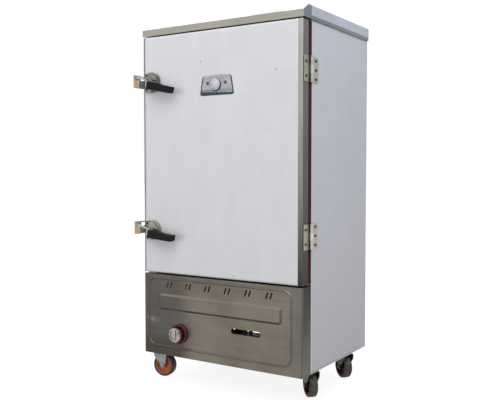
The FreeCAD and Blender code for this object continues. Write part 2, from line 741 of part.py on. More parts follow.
def water_pipes():
    """The fill pipe with its threaded end, and the drain pipe to the valve."""
    _, start = tank_depth()
    x, z = INLET_PLACE
    end = BACK + INLET_OUT
    fill = tube((x, start, z), (0, 1, 0), INLET_RADIUS, INLET_BORE, end - start)
    thread = tube((x, end, z), (0, 1, 0), THREAD_HALF_INCH, INLET_BORE, THREAD_LENGTH)
    x, z = DRAIN_PLACE
    end = BACK + DRAIN_OUT
    drain = tube((x, start, z), (0, 1, 0), DRAIN_RADIUS, DRAIN_RADIUS - DRAIN_WALL, end - start)
    return Part.makeCompound([join(fill, thread), drain])


def drain_valve():
    """A brass ball valve on the drain pipe, with its stem upright and a threaded outlet."""
    x, z = DRAIN_PLACE
    radius, length = DRAIN_BODY
    start = BACK + DRAIN_OUT
    middle = start + length / 2
    body = rod((x, start, z), (0, 1, 0), radius, length)
    outlet = rod((x, start + length, z), (0, 1, 0), DRAIN_RADIUS, DRAIN_OUTLET)
    bonnet = rod((x, middle, z + 10), (0, 0, 1), 9, 16)
    stem = rod((x, middle, z + 26), (0, 0, 1), DRAIN_STEM, 10)
    bore_radius = DRAIN_RADIUS - DRAIN_WALL
    bore = rod((x, start - 1, z), (0, 1, 0), bore_radius, length + DRAIN_OUTLET + 2)
    ball = rod((x, middle - length / 4, z), (0, 1, 0), bore_radius + 0.5, length / 2)
    return join(join(body, outlet, bonnet, stem).cut(bore), ball)


def drain_lever():
    """A flat lever on the valve's stem, across the pipe when shut."""
    x, z = DRAIN_PLACE
    y = BACK + DRAIN_OUT + DRAIN_BODY[1] / 2
    length, width, sheet = DRAIN_LEVER
    hub = rod((x, y, z + 27), (0, 0, 1), 9, 5)
    arm = box((x, x + length), (y - width / 2, y + width / 2), (z + 28, z + 28 + sheet))
    end = rod((x + length, y, z + 28), (0, 0, 1), width / 2, sheet)
    bore = rod((x, y, z + 20), (0, 0, 1), DRAIN_STEM + RUNNING_GAP, 20)
    return join(hub, arm, end).cut(bore)


def rear_outlets():
    """The flue box on the back and the chamber's steam vent beside it."""
    half = FLUE_WIDTH / 2
    outer = box((-half, half), (BACK - SHEET, BACK - SHEET + FLUE_DEPTH), (FLUE_BOTTOM, FLUE_TOP))
    inner = box(
        (-half + SHEET, half - SHEET),
        (BACK - SHEET - 1, BACK - 2 * SHEET + FLUE_DEPTH),
        (FLUE_BOTTOM + SHEET, FLUE_TOP + 1),
    )
    tabs = box(grown((-half, half), FLUE_TAB), (BACK - SHEET, BACK), (FLUE_BOTTOM, FLUE_TOP))
    between = box(grown((-half, half), -SHEET), (BACK - 3, BACK + 1), grown((FLUE_BOTTOM, FLUE_TOP), 1))
    flue = join(outer.cut(inner), tabs.cut(between))
    x, z = STEAM_PLACE
    bore = STEAM_RADIUS - STEAM_WALL
    end = BACK + STEAM_OUT
    vent = tube((x, CHAMBER_BACK, z), (0, 1, 0), STEAM_RADIUS, bore, end - CHAMBER_BACK)
    outlet = tube((x, end, z), (0, 1, 0), STEAM_END_RADIUS, bore, STEAM_END_LENGTH)
    return Part.makeCompound([flue, join(vent, outlet)])


def base_frame():
    """A welded angle frame under the shell, with two flat bars over the casters and the burner."""
    x, y = (-INSIDE, INSIDE), (FRONT + SHEET, BACK_SHEET)
    level = (FRAME_FLOOR, FRAME_FLOOR + FRAME_SHEET)
    top = FRAME_FLOOR + FRAME_HEIGHT
    ring = box(x, y, (FRAME_FLOOR, top))
    hollow = box(grown(x, -FRAME_SHEET), grown(y, -FRAME_SHEET), (level[1], top + 1))
    window = box(grown(x, -FRAME_LEG), grown(y, -FRAME_LEG), grown(level, 1))
    bars = []
    for ends in (("front_left", "front_right"), ("rear_left", "rear_right")):
        places = [caster_y(name) for name in ends]
        bars.append((min(places) - CASTER_PLATE / 2, max(places) + CASTER_PLATE / 2))
    for middle in (BURNER_Y - BURNER_LEG_Y, BURNER_Y + BURNER_LEG_Y):
        bars.append((middle - BURNER_BAR / 2, middle + BURNER_BAR / 2))
    plates = [box(grown(x, -FRAME_SHEET), span, level) for span in bars]
    return join(ring.cut([hollow, window]), *plates)


# Trays


def tray_racks():
    """A rack on each side of the chamber: two posts, and for each tray a ledge with a guide welded on."""
    rail_y = grown((TRAY_MIDDLE, TRAY_MIDDLE), TRAY_DEPTH / 2)
    post_x = (CHAMBER_HALF - RACK_POST, CHAMBER_HALF)
    ledge_x = (TRAY_WIDTH / 2 - TRAY_RIM + RAIL_AIR, post_x[0])
    guide_x = (post_x[0] - RAIL_SHEET, post_x[0])
    top = rim_level(TRAY_COUNT - 1) + RACK_ABOVE
    pieces = []
    for y in grown(rail_y, -RACK_POST_INSET):
        post_y = grown((y, y), RACK_POST_WIDTH / 2)
        pieces.append(box(post_x, post_y, (CHAMBER_FLOOR, top)))
    for i in range(TRAY_COUNT):
        z = rim_level(i) - TRAY_SHEET
        pieces.append(box(ledge_x, rail_y, (z - RAIL_SHEET, z)))
        pieces.append(box(guide_x, rail_y, (z, z + RAIL_GUIDE)))
    return Part.makeCompound(pieces + [mirrored(piece) for piece in pieces])


def rim_level(i):
    return CHAMBER_FLOOR + FIRST_RIM + i * TRAY_PITCH


def tray(i):
    """A pan of welded sheets that hangs by its rim."""
    top = rim_level(i)
    rim_x = (-TRAY_WIDTH / 2, TRAY_WIDTH / 2)
    rim_y = grown((TRAY_MIDDLE, TRAY_MIDDLE), TRAY_DEPTH / 2)
    x, y = grown(rim_x, -TRAY_RIM), grown(rim_y, -TRAY_RIM)
    base = (top - TRAY_HEIGHT, top - TRAY_HEIGHT + TRAY_SHEET)
    inner = (grown(x, -TRAY_SHEET), grown(y, -TRAY_SHEET))
    walls = bars_round((x, y), inner, lambda x, y: box(x, y, (base[1], top)))
    rim = bars_round((rim_x, rim_y), (x, y), lambda x, y: box(x, y, (top - TRAY_SHEET, top)))
    return Part.makeCompound([box(x, y, base)] + walls + rim)


# Door


def door_skin():
    """The outer pan of the door: front, four sides and a flange turned in at the back."""
    pan = box((-HALF, HALF), (FRONT, DOOR_BACK), (DOOR_BOTTOM, DOOR_TOP))
    pan = fillet(pan, FOLD_RADIUS, lambda b: b.YMax < FRONT + 0.1 or runs_along(b, 1))
    z = (DOOR_BOTTOM, DOOR_TOP)
    hollow = box((-INSIDE, INSIDE), (FRONT + SHEET, DOOR_BACK - SHEET), grown(z, -SHEET))
    mouth_x = grown((-INSIDE, INSIDE), -FLANGE)
    mouth = box(mouth_x, (DOOR_BACK - SHEET - 1, DOOR_BACK + 1), grown(z, -SHEET - FLANGE))
    return pan.cut([hollow, mouth] + door_screw_holes())


def door_liner():
    """The inner sheet of the door, with a raised field that faces the chamber."""
    z = grown((DOOR_BOTTOM, DOOR_TOP), -SHEET)
    y = (DOOR_BACK - 2 * SHEET, DOOR_BACK - SHEET)
    sheet = box((-INSIDE, INSIDE), y, z)
    plug_x = grown((-HALF, HALF), -DOOR_PLUG_MARGIN)
    plug_z = grown((DOOR_BOTTOM, DOOR_TOP), -DOOR_PLUG_MARGIN)
    plug_y = (y[1], DOOR_BACK + DOOR_PLUG_DEPTH)
    plug = upright_frustum(plug_x, plug_z, PLUG_CORNER, plug_y, PLUG_SLANT)
    behind = plug.copy()
    behind.translate(V(0, -SHEET, 0))
    return join(sheet, plug).cut(behind)


def door_insulation():
    """Wool that fills the door between its front and its liner."""
    x = grown((-INSIDE, INSIDE), -WOOL_AIR)
    z = grown((DOOR_BOTTOM, DOOR_TOP), -SHEET - WOOL_AIR)
    return box(x, (FRONT + SHEET, DOOR_BACK - 2 * SHEET), z)


def door_gasket():
    """A thick rubber frame on the back of the door, a hair off the cabinet's sealing face."""
    z = grown((DOOR_BOTTOM, DOOR_TOP), -GASKET_INSET)
    x = grown((-HALF, HALF), -GASKET_INSET)
    y = (DOOR_BACK, FRAME_Y - GASKET_AIR)
    outer = upright_plate(x, z, 5.0, y)
    return outer.cut(upright_plate(grown(x, -GASKET_WIDTH), grown(z, -GASKET_WIDTH), 3.0, y))


# Hinges

HINGE_LEVELS = (FITTING_MIDDLE - FITTING_HALF_SPAN, FITTING_MIDDLE + FITTING_HALF_SPAN)
KNUCKLE_SHARE = HINGE_HEIGHT / 3
DOOR_LEAF_Y = (FRONT + DOOR_LEAF_REACH, HINGE_Y)
BODY_LEAF_Y = (HINGE_Y, FRAME_Y + BODY_LEAF_WIDTH)


def hinge_screw_places(level, leaf):
    """Where the screws of one leaf go, as (y, z)."""
    if leaf == "door":
        behind, from_end = DOOR_LEAF_SCREW
        step = HINGE_HEIGHT / 2 - from_end
        return [(FRONT + behind, level - step), (FRONT + behind, level + step)]
    behind, from_end = BODY_LEAF_SCREW
    step = HINGE_HEIGHT / 2 - from_end
    return [(FRAME_Y + behind, level + i * step) for i in (-1, 0, 1)]


def hinge_leaf(level, leaf):
    """One leaf with its share of the knuckles; the door's is the middle one."""
    bottom = level - HINGE_HEIGHT / 2
    pieces, clear = [], KNUCKLE_RADIUS + 2.0
    if leaf == "door":
        shares = [(bottom + KNUCKLE_SHARE + 0.3, bottom + 2 * KNUCKLE_SHARE - 0.3)]
        plate_y = (DOOR_LEAF_Y[0], HINGE_Y - clear)
        bore = HINGE_PIN + RUNNING_GAP
    else:
        shares = [(bottom, bottom + KNUCKLE_SHARE), (bottom + 2 * KNUCKLE_SHARE, bottom + HINGE_HEIGHT)]
        plate_y = (FRAME_Y + 1.0, BODY_LEAF_Y[1])
        bore = HINGE_PIN
    plate = box((HALF, HALF + HINGE_LEAF), plate_y, (bottom, bottom + HINGE_HEIGHT))
    pieces.append(plate)
    for z0, z1 in shares:
        pieces.append(rod((HINGE_X, HINGE_Y, z0), (0, 0, 1), KNUCKLE_RADIUS, z1 - z0))
        reach = (plate_y[1], HINGE_Y) if leaf == "door" else (HINGE_Y, plate_y[0])
        pieces.append(box((HALF, HALF + HINGE_LEAF), (min(reach), max(reach)), (z0, z1)))
    holes = [rod((HINGE_X, HINGE_Y, bottom - 1), (0, 0, 1), bore, HINGE_HEIGHT + 2)]
    for y, z in hinge_screw_places(level, leaf):
        holes.append(rod((HALF - 1, y, z), (1, 0, 0), SCREW_SHANK, HINGE_LEAF + 2))
    return join(*pieces).cut(holes)


def hinge_pin(level):
    bottom = level - HINGE_HEIGHT / 2
    pin = rod((HINGE_X, HINGE_Y, bottom), (0, 0, 1), HINGE_PIN, HINGE_HEIGHT)
    cap = rod((HINGE_X, HINGE_Y, bottom + HINGE_HEIGHT), (0, 0, 1), HINGE_PIN + 1.5, 2.0)
    return join(pin, cap)


def hinge_fixed_parts():
    leaves = [hinge_leaf(level, "body") for level in HINGE_LEVELS]
    return leaves + [hinge_pin(level) for level in HINGE_LEVELS]


def door_screw_holes():
    holes = []
    for level in HINGE_LEVELS:
        for y, z in hinge_screw_places(level, "door"):
            holes.append(rod((HALF - 2 * SHEET, y, z), (1, 0, 0), SCREW_SHANK, 3 * SHEET))
    for name in LATCH_DROOP:
        for x, z in housing_screw_places(name):
            holes.append(rod((x, FRONT - 1, z), (0, 1, 0), SCREW_SHANK, 2 + SHEET))
    return holes


def body_screw_holes():
    """The hinge screws' holes in the right side panel."""
    holes = []
    for level in HINGE_LEVELS:
        for y, z in hinge_screw_places(level, "body"):
            holes.append(rod((HALF - 2 * SHEET, y, z), (1, 0, 0), SCREW_SHANK, 3 * SHEET))
    return holes


# Latches


def latch_pivot(name):
    side = 1 if name == "upper" else -1
    return -HALF + LATCH_X, FITTING_MIDDLE - LATCH_BELOW_MIDDLE + side * LATCH_HALF_SPAN


def housing_screw_places(name):
    x, z = latch_pivot(name)
    across, above, below = HOUSING_SCREW
    return [(x + across, z + above), (x + across, z + below)]


HOUSING_FRONT = FRONT - HOUSING_BASE
LEVER_BACK = HOUSING_FRONT - LEVER_GAP
LEVER_FRONT = LEVER_BACK - LEVER_SHEET
GRIP_BACK = HOUSING_FRONT - HOUSING_CHEEK - LEVER_GAP


def outline_block(edges, depth):
    """Extrudes a closed chain of edges towards the front."""
    return Part.Face(Part.Wire([e.toShape() for e in edges])).extrude(V(0, -depth, 0))


def latch_housing(name):
    """A cast plate on the door with a raised cheek above the lever, and the pivot pin."""
    x, z = latch_pivot(name)
    at = lambda a, b: V(x + a, FRONT, z + b)
    base = outline_block(
        [
            Part.LineSegment(at(-26, -28), at(8, -28)),
            Part.Arc(at(8, -28), at(42, 8), at(-6, 47)),
            Part.LineSegment(at(-6, 47), at(-26, 44)),
            Part.LineSegment(at(-26, 44), at(-26, -28)),
        ],
        HOUSING_BASE,
    )
    base = fillet(base, 3.0, lambda b: b.YMax < HOUSING_FRONT + 0.1)
    over = lambda a, b: V(x + a, HOUSING_FRONT + 4, z + b)
    cheek = outline_block(
        [
            Part.LineSegment(over(16, 14), over(39, 14)),
            Part.Arc(over(39, 14), over(25, 33), over(-2, 44)),
            Part.LineSegment(over(-2, 44), over(16, 14)),
        ],
        HOUSING_CHEEK + 4,
    )
    cheek = fillet(cheek, 2.5, lambda b: b.YMax < HOUSING_FRONT - HOUSING_CHEEK + 0.1)
    pin = rod((x, FRONT - 6, z), (0, -1, 0), PIVOT_RADIUS, HOUSING_BASE - 6 + LEVER_GAP + HUB_HEIGHT + 1)
    cap = rod((x, LEVER_BACK - HUB_HEIGHT - 0.3, z), (0, -1, 0), CAP_RADIUS, 3.0)
    cap = fillet(cap, 1.2, lambda b: b.YMax < LEVER_BACK - HUB_HEIGHT - 1)
    holes = []
    for a, b in housing_screw_places(name):
        holes.append(rod((a, HOUSING_FRONT - 1, b), (0, 1, 0), SCREW_HEAD + HOLE_AIR, HOUSING_SINK + 1))
        holes.append(rod((a, HOUSING_FRONT - 1, b), (0, 1, 0), SCREW_SHANK, HOUSING_BASE + 2))
    return base.fuse([cheek]).cut(holes).fuse([pin, cap])


def latch_lever(name):
    """A steel lever: a hub on the pin, an arm that the grip covers and a tongue for the keeper."""
    x, z = latch_pivot(name)
    at = lambda a, b: V(x + a, LEVER_BACK, z + b)
    tip = -TONGUE_REACH
    outline = [(-10, 10), (-44, 16.5), (tip, 14), (tip, 23), (-44, 25.5), (-4, 14)]
    wire = Part.makePolygon([at(a, b) for a, b in outline + outline[:1]])
    tongue = Part.Face(wire).extrude(V(0, -LEVER_SHEET, 0))
    tongue = fillet(tongue, 3.0, lambda b: runs_along(b, 1) and b.XMax < x + tip + 1)
    hub = rod((x, LEVER_BACK, z), (0, -1, 0), LEVER_HUB, HUB_HEIGHT)
    arm = box((x, x + 95), (LEVER_BACK - ARM_DEPTH, LEVER_BACK), (z - 6, z + 6))
    arm = arm.cut(rod((x, LEVER_BACK - HUB_HEIGHT, z), (0, -1, 0), CAP_RADIUS + 2, ARM_DEPTH))
    bore = rod((x, LEVER_BACK + 1, z), (0, -1, 0), PIVOT_RADIUS + RUNNING_GAP, ARM_DEPTH + 2)
    return join(hub, tongue, arm).cut(bore)


def latch_grip(name):
    """The moulded handle over the lever's arm: a thick root that steps down to the handle."""
    x, z = latch_pivot(name)
    at = lambda a, b: V(x + a, GRIP_BACK, z + b)
    tip = GRIP_LENGTH
    bar = outline_block(
        [
            Part.LineSegment(at(GRIP_START, -17), at(tip - 10, -15)),
            Part.Arc(at(tip - 10, -15), at(tip - 2.5, -11), at(tip, -3)),
            Part.LineSegment(at(tip, -3), at(tip + 0.5, 10.5)),
            Part.LineSegment(at(tip + 0.5, 10.5), at(GRIP_STEP + 8, 11)),
            Part.LineSegment(at(GRIP_STEP + 8, 11), at(GRIP_STEP, 14)),
            Part.LineSegment(at(GRIP_STEP, 14), at(GRIP_START, 14)),
            Part.LineSegment(at(GRIP_START, 14), at(GRIP_START, -17)),
        ],
        GRIP_BACK - (FRONT - GRIP_FRONT),
    )
    bar = fillet(bar, 3.0, lambda b: b.YMax < FRONT - GRIP_FRONT + 0.1)
    eye = rod((x, GRIP_BACK + 1, z), (0, -1, 0), CAP_RADIUS + 1.0, GRIP_FRONT)
    return bar.cut([latch_lever(name), eye])


def drooped(shape, name):
    """Turns a lever's piece about its pivot to where it hangs."""
    x, z = latch_pivot(name)
    turned = shape.copy()
    turned.rotate(V(x, 0, z), V(0, 1, 0), LATCH_DROOP[name])
    return turned


KEEPER_OUT = HALF + KEEPER_REACH
LIP_BACK = LEVER_FRONT - KEEPER_AIR
KEEPER_FRONT = LIP_BACK - KEEPER_LIP_SHEET


def keeper_levels(name):
    _, z = latch_pivot(name)
    return z - KEEPER_BELOW, z + KEEPER_ABOVE


def keeper(name):
    """A bent bracket on the left side: a foot, an arm beside the door and a lip for the tongue."""
    z0, z1 = keeper_levels(name)
    foot_y = (FRAME_Y + KEEPER_FOOT[0], FRAME_Y + KEEPER_FOOT[1])
    foot = box((HALF, HALF + KEEPER_SHEET), foot_y, (z0, z1))
    jog = box((HALF, KEEPER_OUT), (foot_y[0], foot_y[0] + KEEPER_SHEET), (z0, z1))
    arm = box((KEEPER_OUT - KEEPER_SHEET, KEEPER_OUT), (KEEPER_FRONT, foot_y[0] + KEEPER_SHEET), (z0, z1))
    lip = box((HALF + 2.5, KEEPER_OUT), (KEEPER_FRONT, LIP_BACK), (z0, z0 + KEEPER_LIP))
    window = box((KEEPER_OUT - 5, KEEPER_OUT + 1), (FRONT + 12, FRONT + 44), (z0 + KEEPER_LIP + 4, z1 - 5))
    holes = [rod((HALF - 1, y, z), (1, 0, 0), SCREW_SHANK, 6) for y, z in keeper_screw_places(name)]
    return mirrored(join(foot, jog, arm, lip).cut(holes + [window, pad_block(name)]))


def pad_block(name):
    z0, _ = keeper_levels(name)
    x = (HALF + 7.0, KEEPER_OUT - 2.0)
    return box(x, (KEEPER_FRONT - 1.0, LIP_BACK), (z0 + 2.0, z0 + KEEPER_LIP - 2.0))


def keeper_screw_places(name):
    z0, z1 = keeper_levels(name)
    behind, from_end = KEEPER_SCREW
    return [(FRAME_Y + behind, z0 + from_end), (FRAME_Y + behind, z1 - from_end)]


# Casters


def caster_y(name):
    if name in CASTER_FROM_FRONT:
        return FRONT + CASTER_FROM_FRONT[name]
    return BACK - CASTER_FROM_BACK


def caster_place(name):
    side = 1 if "right" in name else -1
    return V(side * (HALF - CASTER_INSET), caster_y(name), 0)


def placed(shape, name, turn=0.0):
    """Turns a caster's piece and moves it under the cabinet."""
    turned = shape.copy()
    turned.rotate(V(0, 0, 0), V(0, 0, 1), turn)
    turned.translate(caster_place(name))
    return turned


FORK_CROWN = 2 * WHEEL_RADIUS + FORK_ROOM
PLATE_BOTTOM = FRAME_FLOOR - CASTER_PLATE_SHEET
FORK_INSIDE = TYRE_WIDTH / 2 + 3.0
CROWN = (-20.0, 36.0)


def caster_mount():
    """The fixed part of a caster: plate, upper race and king pin."""
    half = CASTER_PLATE / 2
    plate = box((-half, half), (-half, half), (PLATE_BOTTOM, FRAME_FLOOR))
    plate = fillet(plate, 8.0, lambda b: runs_along(b, 2))
    race = rod((0, 0, PLATE_BOTTOM - RACE_HEIGHT), (0, 0, 1), RACE_RADIUS, RACE_HEIGHT)
    pin = rod((0, 0, FORK_CROWN - 2), (0, 0, 1), KING_PIN, PLATE_BOTTOM - FORK_CROWN + 2)
    return join(plate, race, pin)


def caster_fork():
    """The swivelling part: crown with lower race, two tapered cheeks and the axle bolt."""
    crown = box(
        (CROWN[0], CROWN[1]),
        (-FORK_INSIDE - FORK_SHEET, FORK_INSIDE + FORK_SHEET),
        (FORK_CROWN, FORK_CROWN + FORK_SHEET),
    )
    race_top = PLATE_BOTTOM - RACE_HEIGHT - RACE_AIR
    race = rod((0, 0, FORK_CROWN), (0, 0, 1), RACE_RADIUS - 4, race_top - FORK_CROWN)
    bore = rod((0, 0, FORK_CROWN - 5), (0, 0, 1), KING_PIN + RUNNING_GAP, 40)
    cheeks = []
    crown_top, skirt = FORK_CROWN + FORK_SHEET, FORK_CROWN - 14
    slope = [(CROWN[0], crown_top), (CROWN[1], crown_top), (CROWN[1], skirt)]
    slope += [(CASTER_TRAIL + FORK_TIP, WHEEL_RADIUS), (CASTER_TRAIL - FORK_TIP, WHEEL_RADIUS)]
    slope += [(CROWN[0], skirt), (CROWN[0], crown_top)]
    for side in (-1, 1):
        y = side * FORK_INSIDE
        wire = Part.makePolygon([V(a, y, b) for a, b in slope])
        cheek = Part.Face(wire).extrude(V(0, side * FORK_SHEET, 0))
        end = rod((CASTER_TRAIL, y, WHEEL_RADIUS), (0, side, 0), FORK_TIP, FORK_SHEET)
        cheeks.append(join(cheek, end))
    axle_half = FORK_INSIDE + FORK_SHEET
    axle_hole = rod((CASTER_TRAIL, -axle_half - 1, WHEEL_RADIUS), (0, 1, 0), AXLE_RADIUS, 2 * axle_half + 2)
    fork = join(crown, race, *cheeks).cut([bore, axle_hole])
    axle = rod((CASTER_TRAIL, -axle_half, WHEEL_RADIUS), (0, 1, 0), AXLE_RADIUS, 2 * axle_half)
    nuts = []
    for side in (-1, 1):
        nuts.append(rod((CASTER_TRAIL, side * axle_half, WHEEL_RADIUS), (0, side, 0), *AXLE_NUT))
    return Part.makeCompound([fork, join(axle, *nuts)])


def wheel_core():
    """The wheel's moulded centre: boss, web and rim."""
    rim_radius = WHEEL_RADIUS - TYRE_DEPTH
    middle = (CASTER_TRAIL, 0, WHEEL_RADIUS)

    def disc(radius, width):
        return rod((middle[0], -width / 2, middle[2]), (0, 1, 0), radius, width)

    rim = disc(rim_radius, TYRE_WIDTH - 4).cut(disc(rim_radius - CORE_RIM, TYRE_WIDTH))
    web = disc(rim_radius - CORE_RIM + 1, CORE_WEB)
    boss = disc(CORE_BOSS, 2 * FORK_INSIDE - 1)
    return join(rim, web, boss).cut(disc(AXLE_RADIUS + RUNNING_GAP, 2 * TYRE_WIDTH))


def wheel_tyre():
    start = (CASTER_TRAIL, -TYRE_WIDTH / 2, WHEEL_RADIUS)
    ring = rod(start, (0, 1, 0), WHEEL_RADIUS, TYRE_WIDTH)
    ring = ring.makeFillet(5.0, [e for e in ring.Edges if e.Closed])
    return ring.cut(rod(start, (0, 1, 0), WHEEL_RADIUS - TYRE_DEPTH, TYRE_WIDTH))


# Fasteners


def cabinet_screws():
    """Screws of the hinges' body leaves, of the keepers and of the back panel."""
    screws = []
    for level in HINGE_LEVELS:
        for y, z in hinge_screw_places(level, "body"):
            screws.append(screw((HALF + HINGE_LEAF, y, z), (1, 0, 0), HINGE_LEAF + SHEET))
    for name in LATCH_DROOP:
        for y, z in keeper_screw_places(name):
            screws.append(screw((-HALF - KEEPER_SHEET, y, z), (-1, 0, 0), KEEPER_SHEET + SHEET))
    for x, z in flange_screw_places():
        screws.append(screw((x, BACK, z), (0, 1, 0), 2 * SHEET))
    return Part.makeCompound(screws)


def flange_screw_places():
    """Where the back panel's screws go, as (x, z), in a column near each side."""
    low, high = grown((FLOOR_GAP, LID_BOTTOM), -FLANGE_SCREW_END)
    step = (high - low) / (FLANGE_SCREWS - 1)
    levels = [low + i * step for i in range(FLANGE_SCREWS)]
    return [(side * (INSIDE - FLANGE / 2), z) for side in (-1, 1) for z in levels]


def door_screws():
    screws = []
    for level in HINGE_LEVELS:
        for y, z in hinge_screw_places(level, "door"):
            screws.append(screw((HALF + HINGE_LEAF, y, z), (1, 0, 0), HINGE_LEAF + SHEET))
    for name in LATCH_DROOP:
        for x, z in housing_screw_places(name):
            head = (x, HOUSING_FRONT + HOUSING_SINK, z)
            screws.append(screw(head, (0, -1, 0), HOUSING_BASE - HOUSING_SINK + SHEET))
    return Part.makeCompound(screws)


def keeper_holes():
    """The keeper screws' holes, on the right until the left side panel is mirrored."""
    holes = []
    for name in LATCH_DROOP:
        for y, z in keeper_screw_places(name):
            holes.append(rod((HALF - 2 * SHEET, y, z), (1, 0, 0), SCREW_SHANK, 3 * SHEET))
    return holes


def flange_holes():
    length = 2 * SHEET + 2
    return [rod((x, BACK_SHEET - 1, z), (0, 1, 0), SCREW_SHANK, length) for x, z in flange_screw_places()]


# The assembly: every node and its shape


def cabinet_nodes():
    back_holes = flange_holes()
    nodes = {
        "right_side_panel": side_panel().cut(body_screw_holes() + back_holes),
        "left_side_panel": mirrored(side_panel().cut(keeper_holes() + back_holes)),
        "back_panel": back_panel().cut(back_holes),
        "lid": lid(),
        "chamber_liner": chamber_liner(),
        "wall_insulation": wall_insulation(),
        "front_frame": front_frame(),
        "control_panel": control_panel(),
        "base_frame": base_frame(),
        "water_tank": water_tank(),
        "burner": burner(),
        "gas_pipe": gas_pipe(),
        "gas_valve": gas_valve(),
        "igniter": igniter(),
        "knob_bezel": knob_bezel(),
        "tray_racks": tray_racks(),
        "rear_outlets": rear_outlets(),
        "water_pipes": water_pipes(),
        "drain_valve": drain_valve(),
        "caster_plates": Part.makeCompound([placed(caster_mount(), name) for name in CASTER_TURN]),
        "cabinet_hinge_leaves": Part.makeCompound(hinge_fixed_parts()),
        "latch_keepers": Part.makeCompound([keeper(name) for name in LATCH_DROOP]),
        "keeper_pads": Part.makeCompound([mirrored(pad_block(name)) for name in LATCH_DROOP]),
        "cabinet_screws": cabinet_screws(),
    }
    for i in range(TRAY_COUNT):
        nodes["tray_%02d" % (i + 1)] = tray(i)
    return nodes


def moving_nodes():
    nodes = {
        "door_skin": door_skin(),
        "door_liner": door_liner(),
        "door_insulation": door_insulation(),
        "door_gasket": door_gasket(),
        "door_hinge_leaves": Part.makeCompound([hinge_leaf(level, "door") for level in HINGE_LEVELS]),
        "latch_housings": Part.makeCompound([latch_housing(name) for name in LATCH_DROOP]),
        "door_screws": door_screws(),
        "knob_stem": knob_stem(),
        "gas_knob": gas_knob(),
        "drain_lever": drain_lever(),
    }
    for name in LATCH_DROOP:
        nodes["latch_lever_" + name] = drooped(latch_lever(name), name)
        nodes["latch_grip_" + name] = drooped(latch_grip(name), name)
    for name in CASTER_TURN:
        turn = CASTER_TURN[name]
        nodes["caster_fork_" + name] = placed(caster_fork(), name, turn)
        nodes["wheel_core_" + name] = placed(wheel_core(), name, turn)
        nodes["wheel_tyre_" + name] = placed(wheel_tyre(), name, turn)
    return nodes


os.makedirs("parts", exist_ok=True)
NODES = dict(cabinet_nodes(), **moving_nodes())
for node, shape in NODES.items():
    shape.exportStep("parts/%s.step" % node)
    print("%-26s solids %2d  valid %s" % (node, len(shape.Solids), shape.isValid()))
print(len(NODES), "nodes")
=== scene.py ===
import math

import bmesh
import bpy
from mathutils import Matrix, Vector, noise


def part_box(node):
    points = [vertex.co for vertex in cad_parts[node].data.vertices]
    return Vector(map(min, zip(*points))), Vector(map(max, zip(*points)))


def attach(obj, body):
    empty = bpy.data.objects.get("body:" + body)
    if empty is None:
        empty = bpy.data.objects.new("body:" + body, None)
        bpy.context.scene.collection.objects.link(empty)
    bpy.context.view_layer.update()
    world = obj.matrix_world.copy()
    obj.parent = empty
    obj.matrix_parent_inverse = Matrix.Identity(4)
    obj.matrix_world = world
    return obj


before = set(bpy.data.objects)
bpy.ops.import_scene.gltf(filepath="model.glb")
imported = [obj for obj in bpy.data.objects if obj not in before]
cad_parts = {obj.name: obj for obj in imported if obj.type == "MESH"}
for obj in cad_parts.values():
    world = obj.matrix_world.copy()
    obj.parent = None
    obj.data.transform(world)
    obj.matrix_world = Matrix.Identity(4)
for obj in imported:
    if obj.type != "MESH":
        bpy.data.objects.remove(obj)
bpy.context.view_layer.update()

# Base frame
# The cabinet stands on a ring of painted angle steel with flat bars across it, all welded.
# The casters bolt to the front and rear bars, and the burner stands on the two middle ones.
FRAME_PAINT = (0.045, 0.048, 0.052)
BARE_EDGE = (0.32, 0.31, 0.30)
EDGE_WIDTH = 0.002
EDGE_TURN = (0.985, 0.86)
BEVEL_SAMPLES = 4
NOISE_LEVELS = (0.3, 0.7)
WEAR_SCALE = 90.0
WEAR_PATCHES = (0.38, 0.62)
DUST_COLOUR = (0.42, 0.39, 0.34)
DUST_SCALE = 60.0
DUST_PATCHES = (0.35, 0.75)
DUST_LEVEL = (0.1, 0.9)
DUST_ON_SIDES = 0.25
MOTTLE_SCALE = 28.0
ROUGHNESS_SPREAD = 0.24


def put(tree, kind, inputs=None, **settings):
    """Adds a node, sets its properties, and fills its sockets with values or links."""
    node = tree.nodes.new(kind)
    for label, value in settings.items():
        setattr(node, label, value)
    for label, value in (inputs or {}).items():
        if isinstance(value, bpy.types.NodeSocket):
            tree.links.new(value, node.inputs[label])
        else:
            node.inputs[label].default_value = value
    return node


def math_node(tree, operation, first, second=0.0, third=0.0, clamp=False):
    node = put(tree, "ShaderNodeMath", {0: first, 1: second, 2: third}, operation=operation)
    node.use_clamp = clamp
    return node.outputs[0]


def vector_math(tree, operation, first, second):
    return put(tree, "ShaderNodeVectorMath", {0: first, 1: second}, operation=operation).outputs


def mixed(tree, factor, first, second, blend="MIX"):
    """A colour between first and second."""
    node = put(tree, "ShaderNodeMix", data_type="RGBA", blend_type=blend)
    for place, value in ((0, factor), (6, first), (7, second)):
        if isinstance(value, bpy.types.NodeSocket):
            tree.links.new(value, node.inputs[place])
        elif place == 0:
            node.inputs[0].default_value = value
        else:
            node.inputs[place].default_value = (*value[:3], 1.0)
    return node.outputs[2]


def ranged(tree, value, low, high, to_low=0.0, to_high=1.0):
    """Value turned from low..high into to_low..to_high, and held there."""
    sockets = {"Value": value, "From Min": low, "From Max": high, "To Min": to_low, "To Max": to_high}
    return put(tree, "ShaderNodeMapRange", sockets, interpolation_type="SMOOTHSTEP").outputs[0]


def grain_noise(tree, vector, scale, detail=2.0, roughness=0.5):
    sockets = {"Vector": vector, "Scale": scale, "Detail": detail, "Roughness": roughness}
    return put(tree, "ShaderNodeTexNoise", sockets).outputs["Fac"]


def parts_of(tree, vector):
    """The X, Y and Z of a vector."""
    return put(tree, "ShaderNodeSeparateXYZ", {0: vector}).outputs


